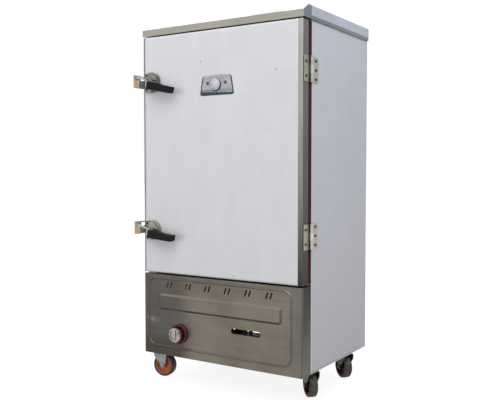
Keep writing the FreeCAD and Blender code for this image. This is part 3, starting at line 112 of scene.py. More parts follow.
def rest_normal(tree):
    """The X, Y and Z of the way a face looks at rest, also when its piece has turned."""
    return parts_of(tree, put(tree, "ShaderNodeTexCoord").outputs["Normal"])


def shaded(tree, colour, shade):
    """A colour made darker or lighter by a factor."""
    grey = put(tree, "ShaderNodeCombineColor", {0: shade, 1: shade, 2: shade}).outputs[0]
    return mixed(tree, 1.0, colour, grey, "MULTIPLY")


def new_group(name, inputs, outputs):
    """A shader node group; inputs are (label, kind, value) and outputs are (label, kind)."""
    tree = bpy.data.node_groups.new(name, "ShaderNodeTree")
    for label, kind, value in inputs:
        socket = tree.interface.new_socket(label, in_out="INPUT", socket_type="NodeSocket" + kind)
        if value is not None:
            socket.default_value = value
    for label, kind in outputs:
        tree.interface.new_socket(label, in_out="OUTPUT", socket_type="NodeSocket" + kind)
    given = tree.nodes.new("NodeGroupInput").outputs
    made = tree.nodes.new("NodeGroupOutput").inputs
    return tree, given, made


def use_group(tree, group, inputs):
    node = tree.nodes.new("ShaderNodeGroup")
    node.node_tree = group
    for label, value in inputs.items():
        if isinstance(value, bpy.types.NodeSocket):
            tree.links.new(value, node.inputs[label])
        else:
            node.inputs[label].default_value = value
    return node.outputs


def new_material(name, **constants):
    """A material with its Principled shader's plain sockets set, and its object coordinates."""
    material = bpy.data.materials.new(name)
    material.use_nodes = True
    tree = material.node_tree
    shader = tree.nodes["Principled BSDF"]
    for label, value in constants.items():
        shader.inputs[label.replace("_", " ")].default_value = value
    place = put(tree, "ShaderNodeTexCoord").outputs["Object"]
    return material, tree, shader.inputs, place


def finish_shader(tree, shader, colour, outputs):
    """Links a colour, and a group's roughness and normal, to a material's shader."""
    tree.links.new(colour, shader["Base Color"])
    for label in ("Roughness", "Normal"):
        tree.links.new(outputs[label], shader[label])


def edge_wear_group():
    """A mask that is bright along worn outer edges, broken up by noise."""
    tree, given, made = new_group(
        "edge_wear",
        [("Vector", "Vector", None), ("Width", "Float", EDGE_WIDTH), ("Amount", "Float", 0.5)],
        [("Mask", "Float")],
    )
    rounded = put(tree, "ShaderNodeBevel", {"Radius": given["Width"]}, samples=BEVEL_SAMPLES)
    flat = put(tree, "ShaderNodeNewGeometry").outputs["Normal"]
    turn = vector_math(tree, "DOT_PRODUCT", rounded.outputs["Normal"], flat)
    edge = ranged(tree, turn["Value"], *EDGE_TURN)
    patches = ranged(tree, grain_noise(tree, given["Vector"], WEAR_SCALE, 5.0, 0.65), *WEAR_PATCHES)
    mask = math_node(tree, "MULTIPLY", edge, patches)
    tree.links.new(math_node(tree, "MULTIPLY", mask, given["Amount"], clamp=True), made["Mask"])
    return tree


def dust_group():
    """Pale dust that settled on faces that look up at rest, and stays on them when they turn."""
    tree, given, made = new_group(
        "dust",
        [("Vector", "Vector", None), ("Colour", "Color", (1, 1, 1, 1)), ("Amount", "Float", 0.3)],
        [("Colour", "Color")],
    )
    lies = ranged(tree, rest_normal(tree)["Z"], *DUST_LEVEL, DUST_ON_SIDES, 1.0)
    patches = ranged(tree, grain_noise(tree, given["Vector"], DUST_SCALE, 6.0, 0.7), *DUST_PATCHES)
    mask = math_node(tree, "MULTIPLY", lies, patches)
    mask = math_node(tree, "MULTIPLY", mask, given["Amount"], clamp=True)
    tree.links.new(mixed(tree, mask, given["Colour"], DUST_COLOUR), made["Colour"])
    return tree


def pitted_group():
    """Fine grain of a cast, moulded or sprayed surface."""
    tree, given, made = new_group(
        "pitted",
        [
            ("Vector", "Vector", None),
            ("Colour", "Color", (1, 1, 1, 1)),
            ("Fineness", "Float", 900.0),
            ("Depth", "Float", 0.0001),
            ("Roughness", "Float", 0.5),
            ("Mottle", "Float", 0.2),
        ],
        [("Colour", "Color"), ("Roughness", "Float"), ("Normal", "Vector")],
    )
    fine = grain_noise(tree, given["Vector"], given["Fineness"], 3.0, 0.6)
    broad = grain_noise(tree, given["Vector"], MOTTLE_SCALE, 4.0, 0.6)
    shade = ranged(tree, broad, *NOISE_LEVELS, -0.5, 0.5)
    shade = math_node(tree, "MULTIPLY_ADD", shade, given["Mottle"], 1.0)
    tree.links.new(shaded(tree, given["Colour"], shade), made["Colour"])
    spread = math_node(tree, "MULTIPLY_ADD", broad, ROUGHNESS_SPREAD, -ROUGHNESS_SPREAD / 2)
    tree.links.new(math_node(tree, "ADD", given["Roughness"], spread, clamp=True), made["Roughness"])
    bump = put(tree, "ShaderNodeBump", {"Height": fine, "Distance": given["Depth"], "Strength": 1.0})
    tree.links.new(bump.outputs[0], made["Normal"])
    return tree


EDGE_WEAR = edge_wear_group()
DUST = dust_group()
PITTED = pitted_group()


def pitted(tree, place, colour=(1.0, 1.0, 1.0), **values):
    """The outputs of the pitted group; values are its other inputs by name."""
    return use_group(tree, PITTED, {"Vector": place, "Colour": (*colour, 1.0), **values})


def worn_edges(tree, place, colour, worn, **values):
    """A colour that gives way to another one along worn outer edges."""
    mask = use_group(tree, EDGE_WEAR, {"Vector": place, **values})["Mask"]
    return mixed(tree, mask, colour, worn)


def dusted(tree, place, colour, amount):
    return use_group(tree, DUST, {"Vector": place, "Colour": colour, "Amount": amount})["Colour"]


def coarse_material(name, colour, worn, fineness, depth, roughness, wear, dust, **constants):
    """Paint, plastic, rubber or raw casting: grained, worn at the edges and a little dusty."""
    material, tree, shader, place = new_material(name, **constants)
    grained = pitted(tree, place, colour, Fineness=fineness, Depth=depth, Roughness=roughness)
    base = worn_edges(tree, place, grained["Colour"], worn, Amount=wear)
    finish_shader(tree, shader, dusted(tree, place, base, dust), grained)
    return material


def finish_nodes(material, *names):
    """Gives CAD nodes a material in every slot that they have."""
    for name in names:
        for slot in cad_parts[name].material_slots:
            slot.material = material


frame_paint = coarse_material("frame_paint", FRAME_PAINT, BARE_EDGE, 700.0, 0.00008, 0.45, 0.8, 0.5)
finish_nodes(frame_paint, "base_frame")

# Casters
# Each caster is a zinc-plated pressed fork that swivels under a plate, with an orange
# moulded wheel centre inside a solid rubber tyre. The two casters on the right get dark copies of
# the zinc and of the orange, as painted shade.
CORNERS = ("front_left", "front_right", "rear_left", "rear_right")
ZINC = (0.30, 0.33, 0.32)
ZINC_DULL = (0.17, 0.18, 0.18)
ORANGE = (0.42, 0.095, 0.022)
ORANGE_WORN = (0.22, 0.09, 0.05)
# Painted shade: a dark brown wheel centre and a dark zinc for the two casters on the right.
CORE_PAINTED_SHADE = (0.050, 0.011, 0.005)
CORE_SHADE_WORN = (0.035, 0.015, 0.009)
ZINC_PAINTED_SHADE = (0.050, 0.048, 0.043)
ZINC_SHADE_DULL = (0.028, 0.025, 0.022)
TYRE = (0.014, 0.0135, 0.011)
TYRE_WORN = (0.06, 0.055, 0.045)
SPANGLE_SCALE = 130.0
SPANGLE_AMOUNT = 0.8


def zinc_material(name, bright, dull):
    """Zinc plating, with its faint crystal patches and a dull bloom."""
    material, tree, shader, place = new_material(name, Metallic=0.85)
    sockets = {"Vector": place, "Scale": SPANGLE_SCALE, "Randomness": 1.0}
    cells = put(tree, "ShaderNodeTexVoronoi", sockets).outputs["Color"]
    spangle = put(tree, "ShaderNodeSeparateColor", {0: cells}).outputs[0]
    tint = mixed(tree, ranged(tree, spangle, 0.0, 1.0, 0.0, SPANGLE_AMOUNT), bright, dull)
    grained = pitted(tree, place, Fineness=500.0, Depth=0.00005, Roughness=0.38)
    finish_shader(tree, shader, dusted(tree, place, tint, 0.35), grained)
    return material


def tyre_material():
    """Solid rubber with a fine grain and greyed edges."""
    material, tree, shader, place = new_material("tyre_rubber", IOR=1.5)
    grained = pitted(tree, place, TYRE, Fineness=600.0, Depth=0.00012, Roughness=0.62)
    base = worn_edges(tree, place, grained["Colour"], TYRE_WORN, Width=0.004, Amount=0.7)
    finish_shader(tree, shader, dusted(tree, place, base, 0.55), grained)
    return material


zinc_plate = zinc_material("zinc_plate", ZINC, ZINC_DULL)
# A dark copy of the zinc, painted shade for the forks of the right casters.
zinc_painted_shade = zinc_material("zinc_painted_shade", ZINC_PAINTED_SHADE, ZINC_SHADE_DULL)
core_orange = coarse_material("wheel_orange", ORANGE, ORANGE_WORN, 420.0, 0.00006, 0.38, 0.5, 0.4)
# A dark brown copy of the orange wheel centre, painted shade for the right casters.
core_painted_shade = coarse_material(
    "wheel_painted_shade", CORE_PAINTED_SHADE, CORE_SHADE_WORN, 420.0, 0.00006, 0.6, 0.5, 0.05, Specular_IOR_Level=0.2
)
tyre_rubber = tyre_material()
for corner in CORNERS:
    on_left = corner.endswith("left")
    finish_nodes(zinc_plate if on_left else zinc_painted_shade, "caster_fork_" + corner)
    finish_nodes(core_orange if on_left else core_painted_shade, "wheel_core_" + corner)
    finish_nodes(tyre_rubber, "wheel_tyre_" + corner)
finish_nodes(zinc_plate, "caster_plates")

# Burner and gas line
# A raw iron ring burner stands on four legs. Drawn steel pipe brings the gas from the thread at
# the back to a brass valve and on to the burner. The water side has the same pipe and brass.
IRON = (0.030, 0.028, 0.027)
IRON_SCALE = (0.11, 0.055, 0.03)
BRASS = (0.56, 0.36, 0.12)
# Painted shade: the pipe colour is made dark so that the pipe reads as shaded inside the cabinet behind the
# lighting slot.
SHADED_PIPE = (0.10, 0.10, 0.095)
LEVER_RED = (0.36, 0.03, 0.02)

cast_iron = coarse_material("raw_iron", IRON, IRON_SCALE, 260.0, 0.0005, 0.75, 0.9, 0.4, Metallic=0.3)
lever_paint = coarse_material("lever_paint", LEVER_RED, BARE_EDGE, 800.0, 0.00005, 0.35, 0.8, 0.2)
finish_nodes(cast_iron, "burner")
finish_nodes(lever_paint, "drain_lever")


def turned_metal(name, colour, roughness, fineness=350.0, depth=0.00004, mottle=0.3):
    """Machined or drawn metal with a slight tarnish."""
    material, tree, shader, place = new_material(name, Metallic=1.0)
    values = {"Fineness": fineness, "Depth": depth, "Roughness": roughness, "Mottle": mottle}
    grained = pitted(tree, place, colour, **values)
    finish_shader(tree, shader, grained["Colour"], grained)
    return material


valve_brass = turned_metal("valve_brass", BRASS, 0.3)
# The drawn steel carries the dark pipe colour, which is painted shade.
drawn_steel = turned_metal("drawn_steel", SHADED_PIPE, 0.6)
finish_nodes(valve_brass, "gas_valve", "drain_valve")
finish_nodes(drawn_steel, "gas_pipe", "igniter", "water_pipes", "knob_stem")

# Tank, chamber, racks and trays
# The inside is plain stainless sheet: a boiler under the chamber floor, a liner box that is open
# to the front, and ten welded pans that hang on the ledges of two racks.
INNER_STEEL = (0.50, 0.49, 0.47)
TRAY_STEEL = (0.56, 0.56, 0.55)
GRAIN_ACROSS = (6.0, 160.0, 420.0)
GRAIN_DEEP = (160.0, 5.0, 420.0)
LINE_LEVELS = (0.25, 0.75)
LINE_SHADES = (0.88, 1.1)
LINE_ROUGHNESS = 0.16
LINE_DEPTH = 0.00004
SMUDGE_SCALE = 5.0
SMUDGE_LEVELS = (0.42, 0.68)
SMUDGE_SHADE = -0.16
SMUDGE_ROUGHNESS = 0.14
WAVE_SCALE = 3.0
SMUDGE = 0.5
WAVE = 0.004


def sheet_steel_group():
    """Rolled sheet: brushed lines, hand smudges and the slow waves of a thin panel."""
    tree, given, made = new_group(
        "sheet_steel",
        [
            ("Vector", "Vector", None),
            ("Colour", "Color", (1, 1, 1, 1)),
            ("Grain", "Vector", GRAIN_ACROSS),
            ("Roughness", "Float", 0.3),
            ("Smudge", "Float", SMUDGE),
            ("Wave", "Float", WAVE),
        ],
        [("Colour", "Color"), ("Roughness", "Float"), ("Normal", "Vector")],
    )
    stretched = vector_math(tree, "MULTIPLY", given["Vector"], given["Grain"])
    lines = grain_noise(tree, stretched["Vector"], 1.0, 4.0, 0.6)
    smudges = ranged(tree, grain_noise(tree, given["Vector"], SMUDGE_SCALE, 5.0, 0.62), *SMUDGE_LEVELS)
    smudges = math_node(tree, "MULTIPLY", smudges, given["Smudge"])
    lined = ranged(tree, lines, *LINE_LEVELS, *LINE_SHADES)
    shade = math_node(tree, "MULTIPLY_ADD", smudges, SMUDGE_SHADE, lined)
    tree.links.new(shaded(tree, given["Colour"], shade), made["Colour"])
    rough = math_node(tree, "MULTIPLY_ADD", lines, LINE_ROUGHNESS, given["Roughness"])
    rough = math_node(tree, "MULTIPLY_ADD", smudges, SMUDGE_ROUGHNESS, rough)
    tree.links.new(math_node(tree, "ADD", rough, -LINE_ROUGHNESS / 2, clamp=True), made["Roughness"])
    waves = grain_noise(tree, given["Vector"], WAVE_SCALE, 1.0, 0.4)
    slow = put(tree, "ShaderNodeBump", {"Height": waves, "Distance": given["Wave"], "Strength": 0.6})
    fine = {"Height": lines, "Distance": LINE_DEPTH, "Strength": 0.7, "Normal": slow.outputs[0]}
    tree.links.new(put(tree, "ShaderNodeBump", fine).outputs[0], made["Normal"])
    return tree


def height_fade_group():
    """A colour that changes from the bottom of a tall panel to its top."""
    tree, given, made = new_group(
        "height_fade",
        [
            ("Vector", "Vector", None),
            ("Low", "Float", 0.0),
            ("High", "Float", 1.0),
            ("Low Colour", "Color", (0, 0, 0, 1)),
            ("High Colour", "Color", (1, 1, 1, 1)),
        ],
        [("Colour", "Color")],
    )
    level = parts_of(tree, given["Vector"])["Z"]
    span = {"Value": level, "From Min": given["Low"], "From Max": given["High"]}
    factor = put(tree, "ShaderNodeMapRange", span).outputs[0]
    tree.links.new(mixed(tree, factor, given["Low Colour"], given["High Colour"]), made["Colour"])
    return tree


SHEET_STEEL = sheet_steel_group()
HEIGHT_FADE = height_fade_group()


def faded(tree, place, levels, low, high):
    """A colour that goes from low to high between two levels."""
    sockets = {"Vector": place, "Low": levels[0], "High": levels[1]}
    sockets.update({"Low Colour": (*low, 1.0), "High Colour": (*high, 1.0)})
    return use_group(tree, HEIGHT_FADE, sockets)["Colour"]


def finish_sheet(tree, shader, place, colour, grain, roughness, smudge=SMUDGE, wave=WAVE):
    """Puts the rolled-sheet look on a material, over any colour."""
    if not isinstance(colour, bpy.types.NodeSocket):
        colour = (*colour, 1.0)
    sockets = {"Vector": place, "Colour": colour, "Grain": grain, "Roughness": roughness}
    sockets.update({"Smudge": smudge, "Wave": wave})
    outputs = use_group(tree, SHEET_STEEL, sockets)
    finish_shader(tree, shader, outputs["Colour"], outputs)


def plain_sheet(name, colour, grain, roughness, smudge=SMUDGE, wave=WAVE):
    material, tree, shader, place = new_material(name, Metallic=1.0)
    finish_sheet(tree, shader, place, colour, grain, roughness, smudge, wave)
    return material


inner_steel = plain_sheet("inner_steel", INNER_STEEL, GRAIN_DEEP, 0.3)
tray_steel = plain_sheet("tray_steel", TRAY_STEEL, GRAIN_ACROSS, 0.24, smudge=0.8, wave=0.002)
finish_nodes(inner_steel, "water_tank", "chamber_liner", "front_frame", "tray_racks")
trays = [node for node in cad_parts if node.startswith("tray_") and node != "tray_racks"]
finish_nodes(tray_steel, *trays)

# Wool
# Mineral wool fills the walls and the door. It shows only where a seam is open.
WOOL = (0.55, 0.47, 0.26)

wool = coarse_material("mineral_wool", WOOL, WOOL, 300.0, 0.002, 0.95, 0.0, 0.0)
finish_nodes(wool, "wall_insulation", "door_insulation")

# Control panel
# One pressed sheet with a raised field, a rib round it, slanted vent slits and a lighting slot.
# Bare steel with painted reflection as if it mirrored a darker room: darker towards its left end
# and its lower edge, with a bluish patch and a painted glint at the left end, a step to a lighter
# middle and a lighter right end. Its relief gets painted highlights on slopes that face up and
# painted shade on slopes that face down or sideways, painted shade darkens its top, and its side
# face is painted dark, lighter towards its foot.
PANEL_LEFT = (0.112, 0.103, 0.086)
PANEL_BLUE = (0.112, 0.109, 0.101)
PANEL_BROWN = (0.070, 0.060, 0.045)
PANEL_MIDDLE = (0.195, 0.172, 0.138)
PANEL_END = (0.178, 0.162, 0.138)
PANEL_SIDE = (0.014, 0.015, 0.015)
PANEL_SIDE_LOW = (0.120, 0.118, 0.098)
SLOPE_LIT = (0.235, 0.215, 0.18)
BEAD_LIT = (0.15, 0.138, 0.115)
FIELD_X = (-0.285, 0.279)
FIELD_Z = (0.275, 0.352)
SLOPE_SHADED = (0.060, 0.056, 0.048)
SLOPE_SIDE = (0.105, 0.096, 0.080)
PANEL_STEP = -0.135
BLUE_PATCH = (-0.316, -0.236)
PANEL_END_FROM = 0.306
BROWN_BELOW = 0.165
PAINTED_GLINT = (0.27, 0.27, 0.265)
GLINT_X = (-0.338, -0.285)
GLINT_Z = (0.233, 0.249)
GLINT_SOFT = (0.018, 0.010)
GLINT_SCALE = 45.0
GLINT_BREAKS = (0.35, 0.65)
STEP_SOFT = (-0.06, 0.03)
BLUE_SOFT = 0.010
BROWN_SOFT = 0.03
BROWN_AMOUNT = 0.8
END_SOFT = 0.004
FIELD_SOFT = 0.002
TOP_SHADE_FROM = 0.70
TOP_SHADE_AMOUNT = 0.15
FACING_SIDE = (0.08, 0.35)
FACING_UP = (0.10, 0.45)
FACING_DOWN = (-0.10, -0.45)
BELOW_FOLD = (-0.008, -0.012)
PANEL_CORNER = (0.010, 0.016)


def between(tree, value, low, high, soft):
    """1 between low and high, and 0 outside them."""
    rises = ranged(tree, value, low - soft, low + soft)
    falls = ranged(tree, value, high + soft, high - soft)
    return math_node(tree, "MULTIPLY", rises, falls)


def panel_material():
    material, tree, shader, place = new_material("panel_steel", Metallic=1.0)
    low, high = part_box("control_panel")
    across = parts_of(tree, place)
    # Painted reflection: a dark left end with a bluish patch, browner towards the lower edge.
    blue = between(tree, across["X"], *BLUE_PATCH, BLUE_SOFT)
    dark_end = mixed(tree, blue, PANEL_LEFT, PANEL_BLUE)
    brown_from, brown_to = BROWN_BELOW + BROWN_SOFT, BROWN_BELOW - BROWN_SOFT
    brown = ranged(tree, across["Z"], brown_from, brown_to, 0.0, BROWN_AMOUNT)
    dark_end = mixed(tree, brown, dark_end, PANEL_BROWN)
    # A painted glint on the left end, broken up by noise.
    glint = between(tree, across["X"], *GLINT_X, GLINT_SOFT[0])
    glint = math_node(tree, "MULTIPLY", glint, between(tree, across["Z"], *GLINT_Z, GLINT_SOFT[1]))
    broken = ranged(tree, grain_noise(tree, place, GLINT_SCALE, 3.0, 0.6), *GLINT_BREAKS)
    dark_end = mixed(tree, math_node(tree, "MULTIPLY", glint, broken), dark_end, PAINTED_GLINT)
    # Painted reflection: a step to a lighter middle, and a lighter right end.
    lit = ranged(tree, across["X"], PANEL_STEP + STEP_SOFT[0], PANEL_STEP + STEP_SOFT[1])
    front = mixed(tree, lit, dark_end, PANEL_MIDDLE)
    at_end = ranged(tree, across["X"], PANEL_END_FROM - END_SOFT, PANEL_END_FROM + END_SOFT)
    front = mixed(tree, at_end, front, PANEL_END)
    shade_from = low.z + TOP_SHADE_FROM * (high.z - low.z)
    top_shade = ranged(tree, across["Z"], shade_from, high.z, 0.0, TOP_SHADE_AMOUNT)
    front = mixed(tree, top_shade, front, PANEL_LEFT)
    # Painted highlights on slopes that face up, below the top fold, and painted shade on slopes that face
    # down or sideways.
    turned = rest_normal(tree)
    upward, sideways = turned["Z"], math_node(tree, "ABSOLUTE", turned["X"])
    front = mixed(tree, ranged(tree, sideways, *FACING_SIDE), front, SLOPE_SIDE)
    below_fold = ranged(tree, across["Z"], high.z + BELOW_FOLD[0], high.z + BELOW_FOLD[1])
    lit_slope = math_node(tree, "MULTIPLY", ranged(tree, upward, *FACING_UP), below_fold)
    in_field = between(tree, across["X"], *FIELD_X, FIELD_SOFT)
    in_field = math_node(tree, "MULTIPLY", in_field, between(tree, across["Z"], *FIELD_Z, FIELD_SOFT))
    front = mixed(tree, lit_slope, front, mixed(tree, in_field, BEAD_LIT, SLOPE_LIT))
    front = mixed(tree, ranged(tree, upward, *FACING_DOWN), front, SLOPE_SHADED)
    # Painted shade on the side face, lighter towards its foot.
    side = faded(tree, place, (low.z, high.z), PANEL_SIDE_LOW, PANEL_SIDE)
    round_corner = ranged(tree, across["Y"], low.y + PANEL_CORNER[0], low.y + PANEL_CORNER[1])
    colour = mixed(tree, round_corner, front, side)
    finish_sheet(tree, shader, place, colour, GRAIN_ACROSS, 0.32, smudge=0.9, wave=0.005)
    return material


finish_nodes(panel_material(), "control_panel")

# Gas knob
# A bright plated knob with flutes sits in a dark red cup and turns the valve through a stem.
BEZEL = (0.085, 0.012, 0.014)
KNOB = (0.26, 0.225, 0.22)

bezel_red = coarse_material(
    "bezel_red", BEZEL, BEZEL, 500.0, 0.00003, 0.4, 0.0, 0.05, Specular_IOR_Level=0.25
)
knob_plate = turned_metal("knob_plate", KNOB, 0.2, 240.0, 0.00002, mottle=1.1)
finish_nodes(bezel_red, "knob_bezel")
finish_nodes(knob_plate, "gas_knob")

# Side panels and back
# The sides are steel sheets that still wear their pale protective film. The back and the flue box
# on it are bare sheet.
SIDE_LOW = (0.40, 0.40, 0.43)
SIDE_HIGH = (0.57, 0.60, 0.69)
SIDE_REAR_SHADE = 0.88
BACK_STEEL = (0.42, 0.41, 0.385)
FILM_LIFT = 0.0003
FILM_THICKNESS = 0.0001
FILM_RELIEF = 0.0005
FILM_CELL = 0.007
STRIP_PINK = (0.66, 0.60, 0.60)
STRIP_DEPTH = 0.006
STRIP_SOFT = 0.001
DOOR_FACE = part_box("door_skin")[0].y
STAIN_CORE = 0.4
STAIN_AMOUNT = 0.7
FILM_MOTTLE = 0.05
FILM_CLOUD_SCALE = 7.0
FILM_CREASE = (9.0, 9.0, 2.2)
FILM_FOLD_SCALE = 2.2
FILM_FOLD_DEPTH = 0.0015
FILM_ROUGHNESS = 0.26
CLOUD_ROUGHNESS = 0.2
SPECK = (0.20, 0.19, 0.18)
SPECK_SCALE = 22.0
SPECK_RADII = (0.022, 0.012)
SPECK_AMOUNT = 0.35
SETTLED_BY = 12.0
BUBBLES = (9.0, 4.0)
EDGE_WANDER = 0.001
WANDER_SCALE = 5.0
SIDE_GAPS = {"front": 0.001, "back": 0.004, "foot": 0.003, "head": 0.001}
GRAIN_UP = (160.0, 160.0, 5.0)


def film_group():
    """Clinging plastic film: faint mottling, soft creases and specks of dirt."""
    tree, given, made = new_group(
        "film",
        [("Vector", "Vector", None), ("Colour", "Color", (1, 1, 1, 1))],
        [("Colour", "Color"), ("Roughness", "Float"), ("Normal", "Vector")],
    )
    cloud = grain_noise(tree, given["Vector"], FILM_CLOUD_SCALE, 5.0, 0.6)
    crease = vector_math(tree, "MULTIPLY", given["Vector"], FILM_CREASE)
    folds = grain_noise(tree, crease["Vector"], FILM_FOLD_SCALE, 3.0, 0.55)
    clouds = ranged(tree, cloud, *NOISE_LEVELS, -0.5, 0.5)
    both = math_node(tree, "ADD", clouds, ranged(tree, folds, *NOISE_LEVELS, -0.3, 0.3))
    base = shaded(tree, given["Colour"], math_node(tree, "MULTIPLY_ADD", both, FILM_MOTTLE, 1.0))
    sockets = {"Vector": given["Vector"], "Scale": SPECK_SCALE, "Randomness": 1.0}
    dots = put(tree, "ShaderNodeTexVoronoi", sockets).outputs["Distance"]
    dirt = ranged(tree, dots, *SPECK_RADII, 0.0, SPECK_AMOUNT)
    tree.links.new(mixed(tree, dirt, base, SPECK), made["Colour"])
    rough = math_node(tree, "MULTIPLY_ADD", cloud, CLOUD_ROUGHNESS, FILM_ROUGHNESS)
    tree.links.new(rough, made["Roughness"])
    bump = put(tree, "ShaderNodeBump", {"Height": folds, "Distance": FILM_FOLD_DEPTH, "Strength": 0.35})
    tree.links.new(bump.outputs[0], made["Normal"])
    return tree


FILM = film_group()


def film_material(name, levels, low, high, strip=None, marks=()):
    """Film that fades with height, painted light that is brighter towards the top. At strip's depth its
    pink front edge ends, and it darkens from there to the back as painted shade. It is stained at marks."""
    constants = {"Metallic": 0.15, "Coat_Weight": 0.15, "Coat_Roughness": 0.3}
    material, tree, shader, place = new_material(name, **constants)
    colour = faded(tree, place, levels, low, high)
    if strip is not None:
        depth = parts_of(tree, place)["Y"]
        at_front = ranged(tree, depth, strip + STRIP_SOFT, strip - STRIP_SOFT)
        colour = mixed(tree, at_front, colour, STRIP_PINK)
        rear = ranged(tree, depth, strip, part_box("right_side_panel")[1].y, 1.0, SIDE_REAR_SHADE)
        colour = shaded(tree, colour, rear)
    for x, z, radius, stain in marks:
        away = vector_math(tree, "DISTANCE", place, (x, DOOR_FACE, z))["Value"]
        near = ranged(tree, away, radius, radius * STAIN_CORE, 0.0, STAIN_AMOUNT)
        colour = mixed(tree, near, colour, stain)
    outputs = use_group(tree, FILM, {"Vector": place, "Colour": colour})
    finish_shader(tree, shader, outputs["Colour"], outputs)
    return material


def piece(name, bm, material, body):
    """Turns a bmesh into a finished piece that rides on a body."""
    for face in bm.faces:
        face.smooth = True
    mesh = bpy.data.meshes.new(name)
    bm.to_mesh(mesh)
    bm.free()
    mesh.materials.append(material)
    made = bpy.data.objects.new(name, mesh)
    bpy.context.scene.collection.objects.link(made)
    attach(made, body)


def film_sheet(length, height, seed):
    """A flat film in the XZ plane, facing -Y, with soft relief that dies out at its edges."""
    bm = bmesh.new()
    steps = (round(length / FILM_CELL), round(height / FILM_CELL))
    bmesh.ops.create_grid(bm, x_segments=steps[0], y_segments=steps[1], size=0.5)
    bmesh.ops.rotate(bm, verts=bm.verts, cent=(0, 0, 0), matrix=Matrix.Rotation(math.pi / 2, 3, "X"))
    for vert in bm.verts:
        inward = min(0.5 - abs(vert.co.x), 0.5 - abs(vert.co.z))
        settled = min(1.0, max(0.0, inward) * SETTLED_BY)
        spot = Vector((vert.co.x * length * BUBBLES[0], seed, vert.co.z * height * BUBBLES[1]))
        bubble = noise.fractal(spot, 1.0, 2.0, 3)
        spot = Vector((vert.co.x * WANDER_SCALE, seed + 7.0, vert.co.z * WANDER_SCALE))
        wander = EDGE_WANDER * noise.noise(spot)
        vert.co.x *= length + wander
        vert.co.z *= height + wander
        vert.co.y = -FILM_RELIEF * settled * (0.5 + 0.5 * bubble)
    bmesh.ops.solidify(bm, geom=bm.faces, thickness=FILM_THICKNESS)
    bmesh.ops.recalc_face_normals(bm, faces=bm.faces)
    return bm


def side_film(name, node, side, material, seed):
    """The film on one side panel, held a little inside the panel's edges."""
    low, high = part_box(node)
    front, back = low.y + SIDE_GAPS["front"], high.y - SIDE_GAPS["back"]
    foot, head = low.z + SIDE_GAPS["foot"], high.z - SIDE_GAPS["head"]
    length, height = back - front, head - foot
    bm = film_sheet(length, height, seed)
    turn = Matrix.Rotation(side * math.pi / 2, 4, "Z")
    outer = high.x if side > 0 else low.x
    middle = Vector((outer + side * FILM_LIFT, (front + back) / 2, (foot + head) / 2))
    bmesh.ops.transform(bm, verts=bm.verts, matrix=Matrix.Translation(middle) @ turn)
    piece(name, bm, material, "cabinet")


side_low, side_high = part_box("right_side_panel")
side_strip = side_low.y + STRIP_DEPTH
# The side film is a darker copy of the door film, painted shade on the sides, and is painted lighter towards
# the top.
side_film_look = film_material("side_film", (side_low.z, side_high.z), SIDE_LOW, SIDE_HIGH, side_strip)
side_film("right_side_film", "right_side_panel", 1, side_film_look, seed=3.0)
side_film("left_side_film", "left_side_panel", -1, side_film_look, seed=11.0)
side_steel = plain_sheet("side_steel", BACK_STEEL, GRAIN_UP, 0.3)
finish_nodes(side_steel, "left_side_panel", "right_side_panel", "back_panel", "rear_outlets")

# Lid
# A folded pan of bare sheet lies on the cabinet. Its sides keep a strip of film above a bare lower
# edge that is darkened with painted shade, and its sloped front is bare, with painted shade where it
# faces up.
LID_FRONT = (0.42, 0.40, 0.34)
LID_SLOPE_SHADED = (0.34, 0.33, 0.31)
LID_FILM = (0.44, 0.48, 0.56)
LID_STRIP_AND_SHADE = (0.17, 0.20, 0.235)
LID_STRIP_HEIGHT = 0.0125
LID_BARE_FRONT = 0.055
LID_SOFT = 0.001
LID_SKIN = (0.0016, 0.0008)
LID_FACING_UP = (0.10, 0.40)


def lid_material():
    material, tree, shader, place = new_material("lid_steel", Metallic=0.9)
    low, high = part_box("lid")
    parts = parts_of(tree, place)
    side = math_node(tree, "ABSOLUTE", parts["X"])
    on_side = ranged(tree, side, high.x - LID_SKIN[0], high.x - LID_SKIN[1])
    film_foot, film_front = low.z + LID_STRIP_HEIGHT, low.y + LID_BARE_FRONT
    above = ranged(tree, parts["Z"], film_foot - LID_SOFT, film_foot + LID_SOFT)
    behind = ranged(tree, parts["Y"], film_front - LID_SOFT, film_front + LID_SOFT)
    # The lower strip of each side is bare steel, darkened with painted shade.
    side_colour = mixed(tree, math_node(tree, "MULTIPLY", above, behind), LID_STRIP_AND_SHADE, LID_FILM)
    # Painted shade on the faces that look up: the sloped front.
    bare = mixed(tree, ranged(tree, rest_normal(tree)["Z"], *LID_FACING_UP), LID_FRONT, LID_SLOPE_SHADED)
    colour = mixed(tree, on_side, bare, side_colour)
    finish_sheet(tree, shader, place, colour, GRAIN_ACROSS, 0.3, smudge=0.6)
    return material


finish_nodes(lid_material(), "lid")

# Door
# An insulated door in a folded steel skin. Its front wears the same film, cut a little short of
# its edges, so that a bare margin shows. A dark red rubber frame seals it to the cabinet.
FILM_LOW = (0.655, 0.665, 0.690)
FILM_HIGH = (0.780, 0.785, 0.820)
MARGIN_LOW = (0.048, 0.047, 0.044)
MARGIN_HIGH = (0.53, 0.52, 0.50)
DOOR_SIDE_LOW = (0.022, 0.018, 0.017)
DOOR_SIDE_HIGH = (0.165, 0.158, 0.165)
DOOR_MARGINS = (0.008, 0.017, 0.0015)
LEFT_MARGIN = (0.26, 0.255, 0.26)
LEFT_MARGIN_ENDS = (0.020, 0.018)
DOOR_CORNER = (0.0012, 0.0045)
GASKET = (0.055, 0.0045, 0.007)
GASKET_WORN = (0.08, 0.02, 0.02)
RED_STAIN = (0.42, 0.20, 0.22)
GREY_STAIN = (0.13, 0.13, 0.14)
DOOR_STAINS = (
    (-0.0754, 1.218, 0.0045, RED_STAIN),
    (0.245, 1.166, 0.004, GREY_STAIN),
    (0.065, 0.436, 0.004, GREY_STAIN),
)

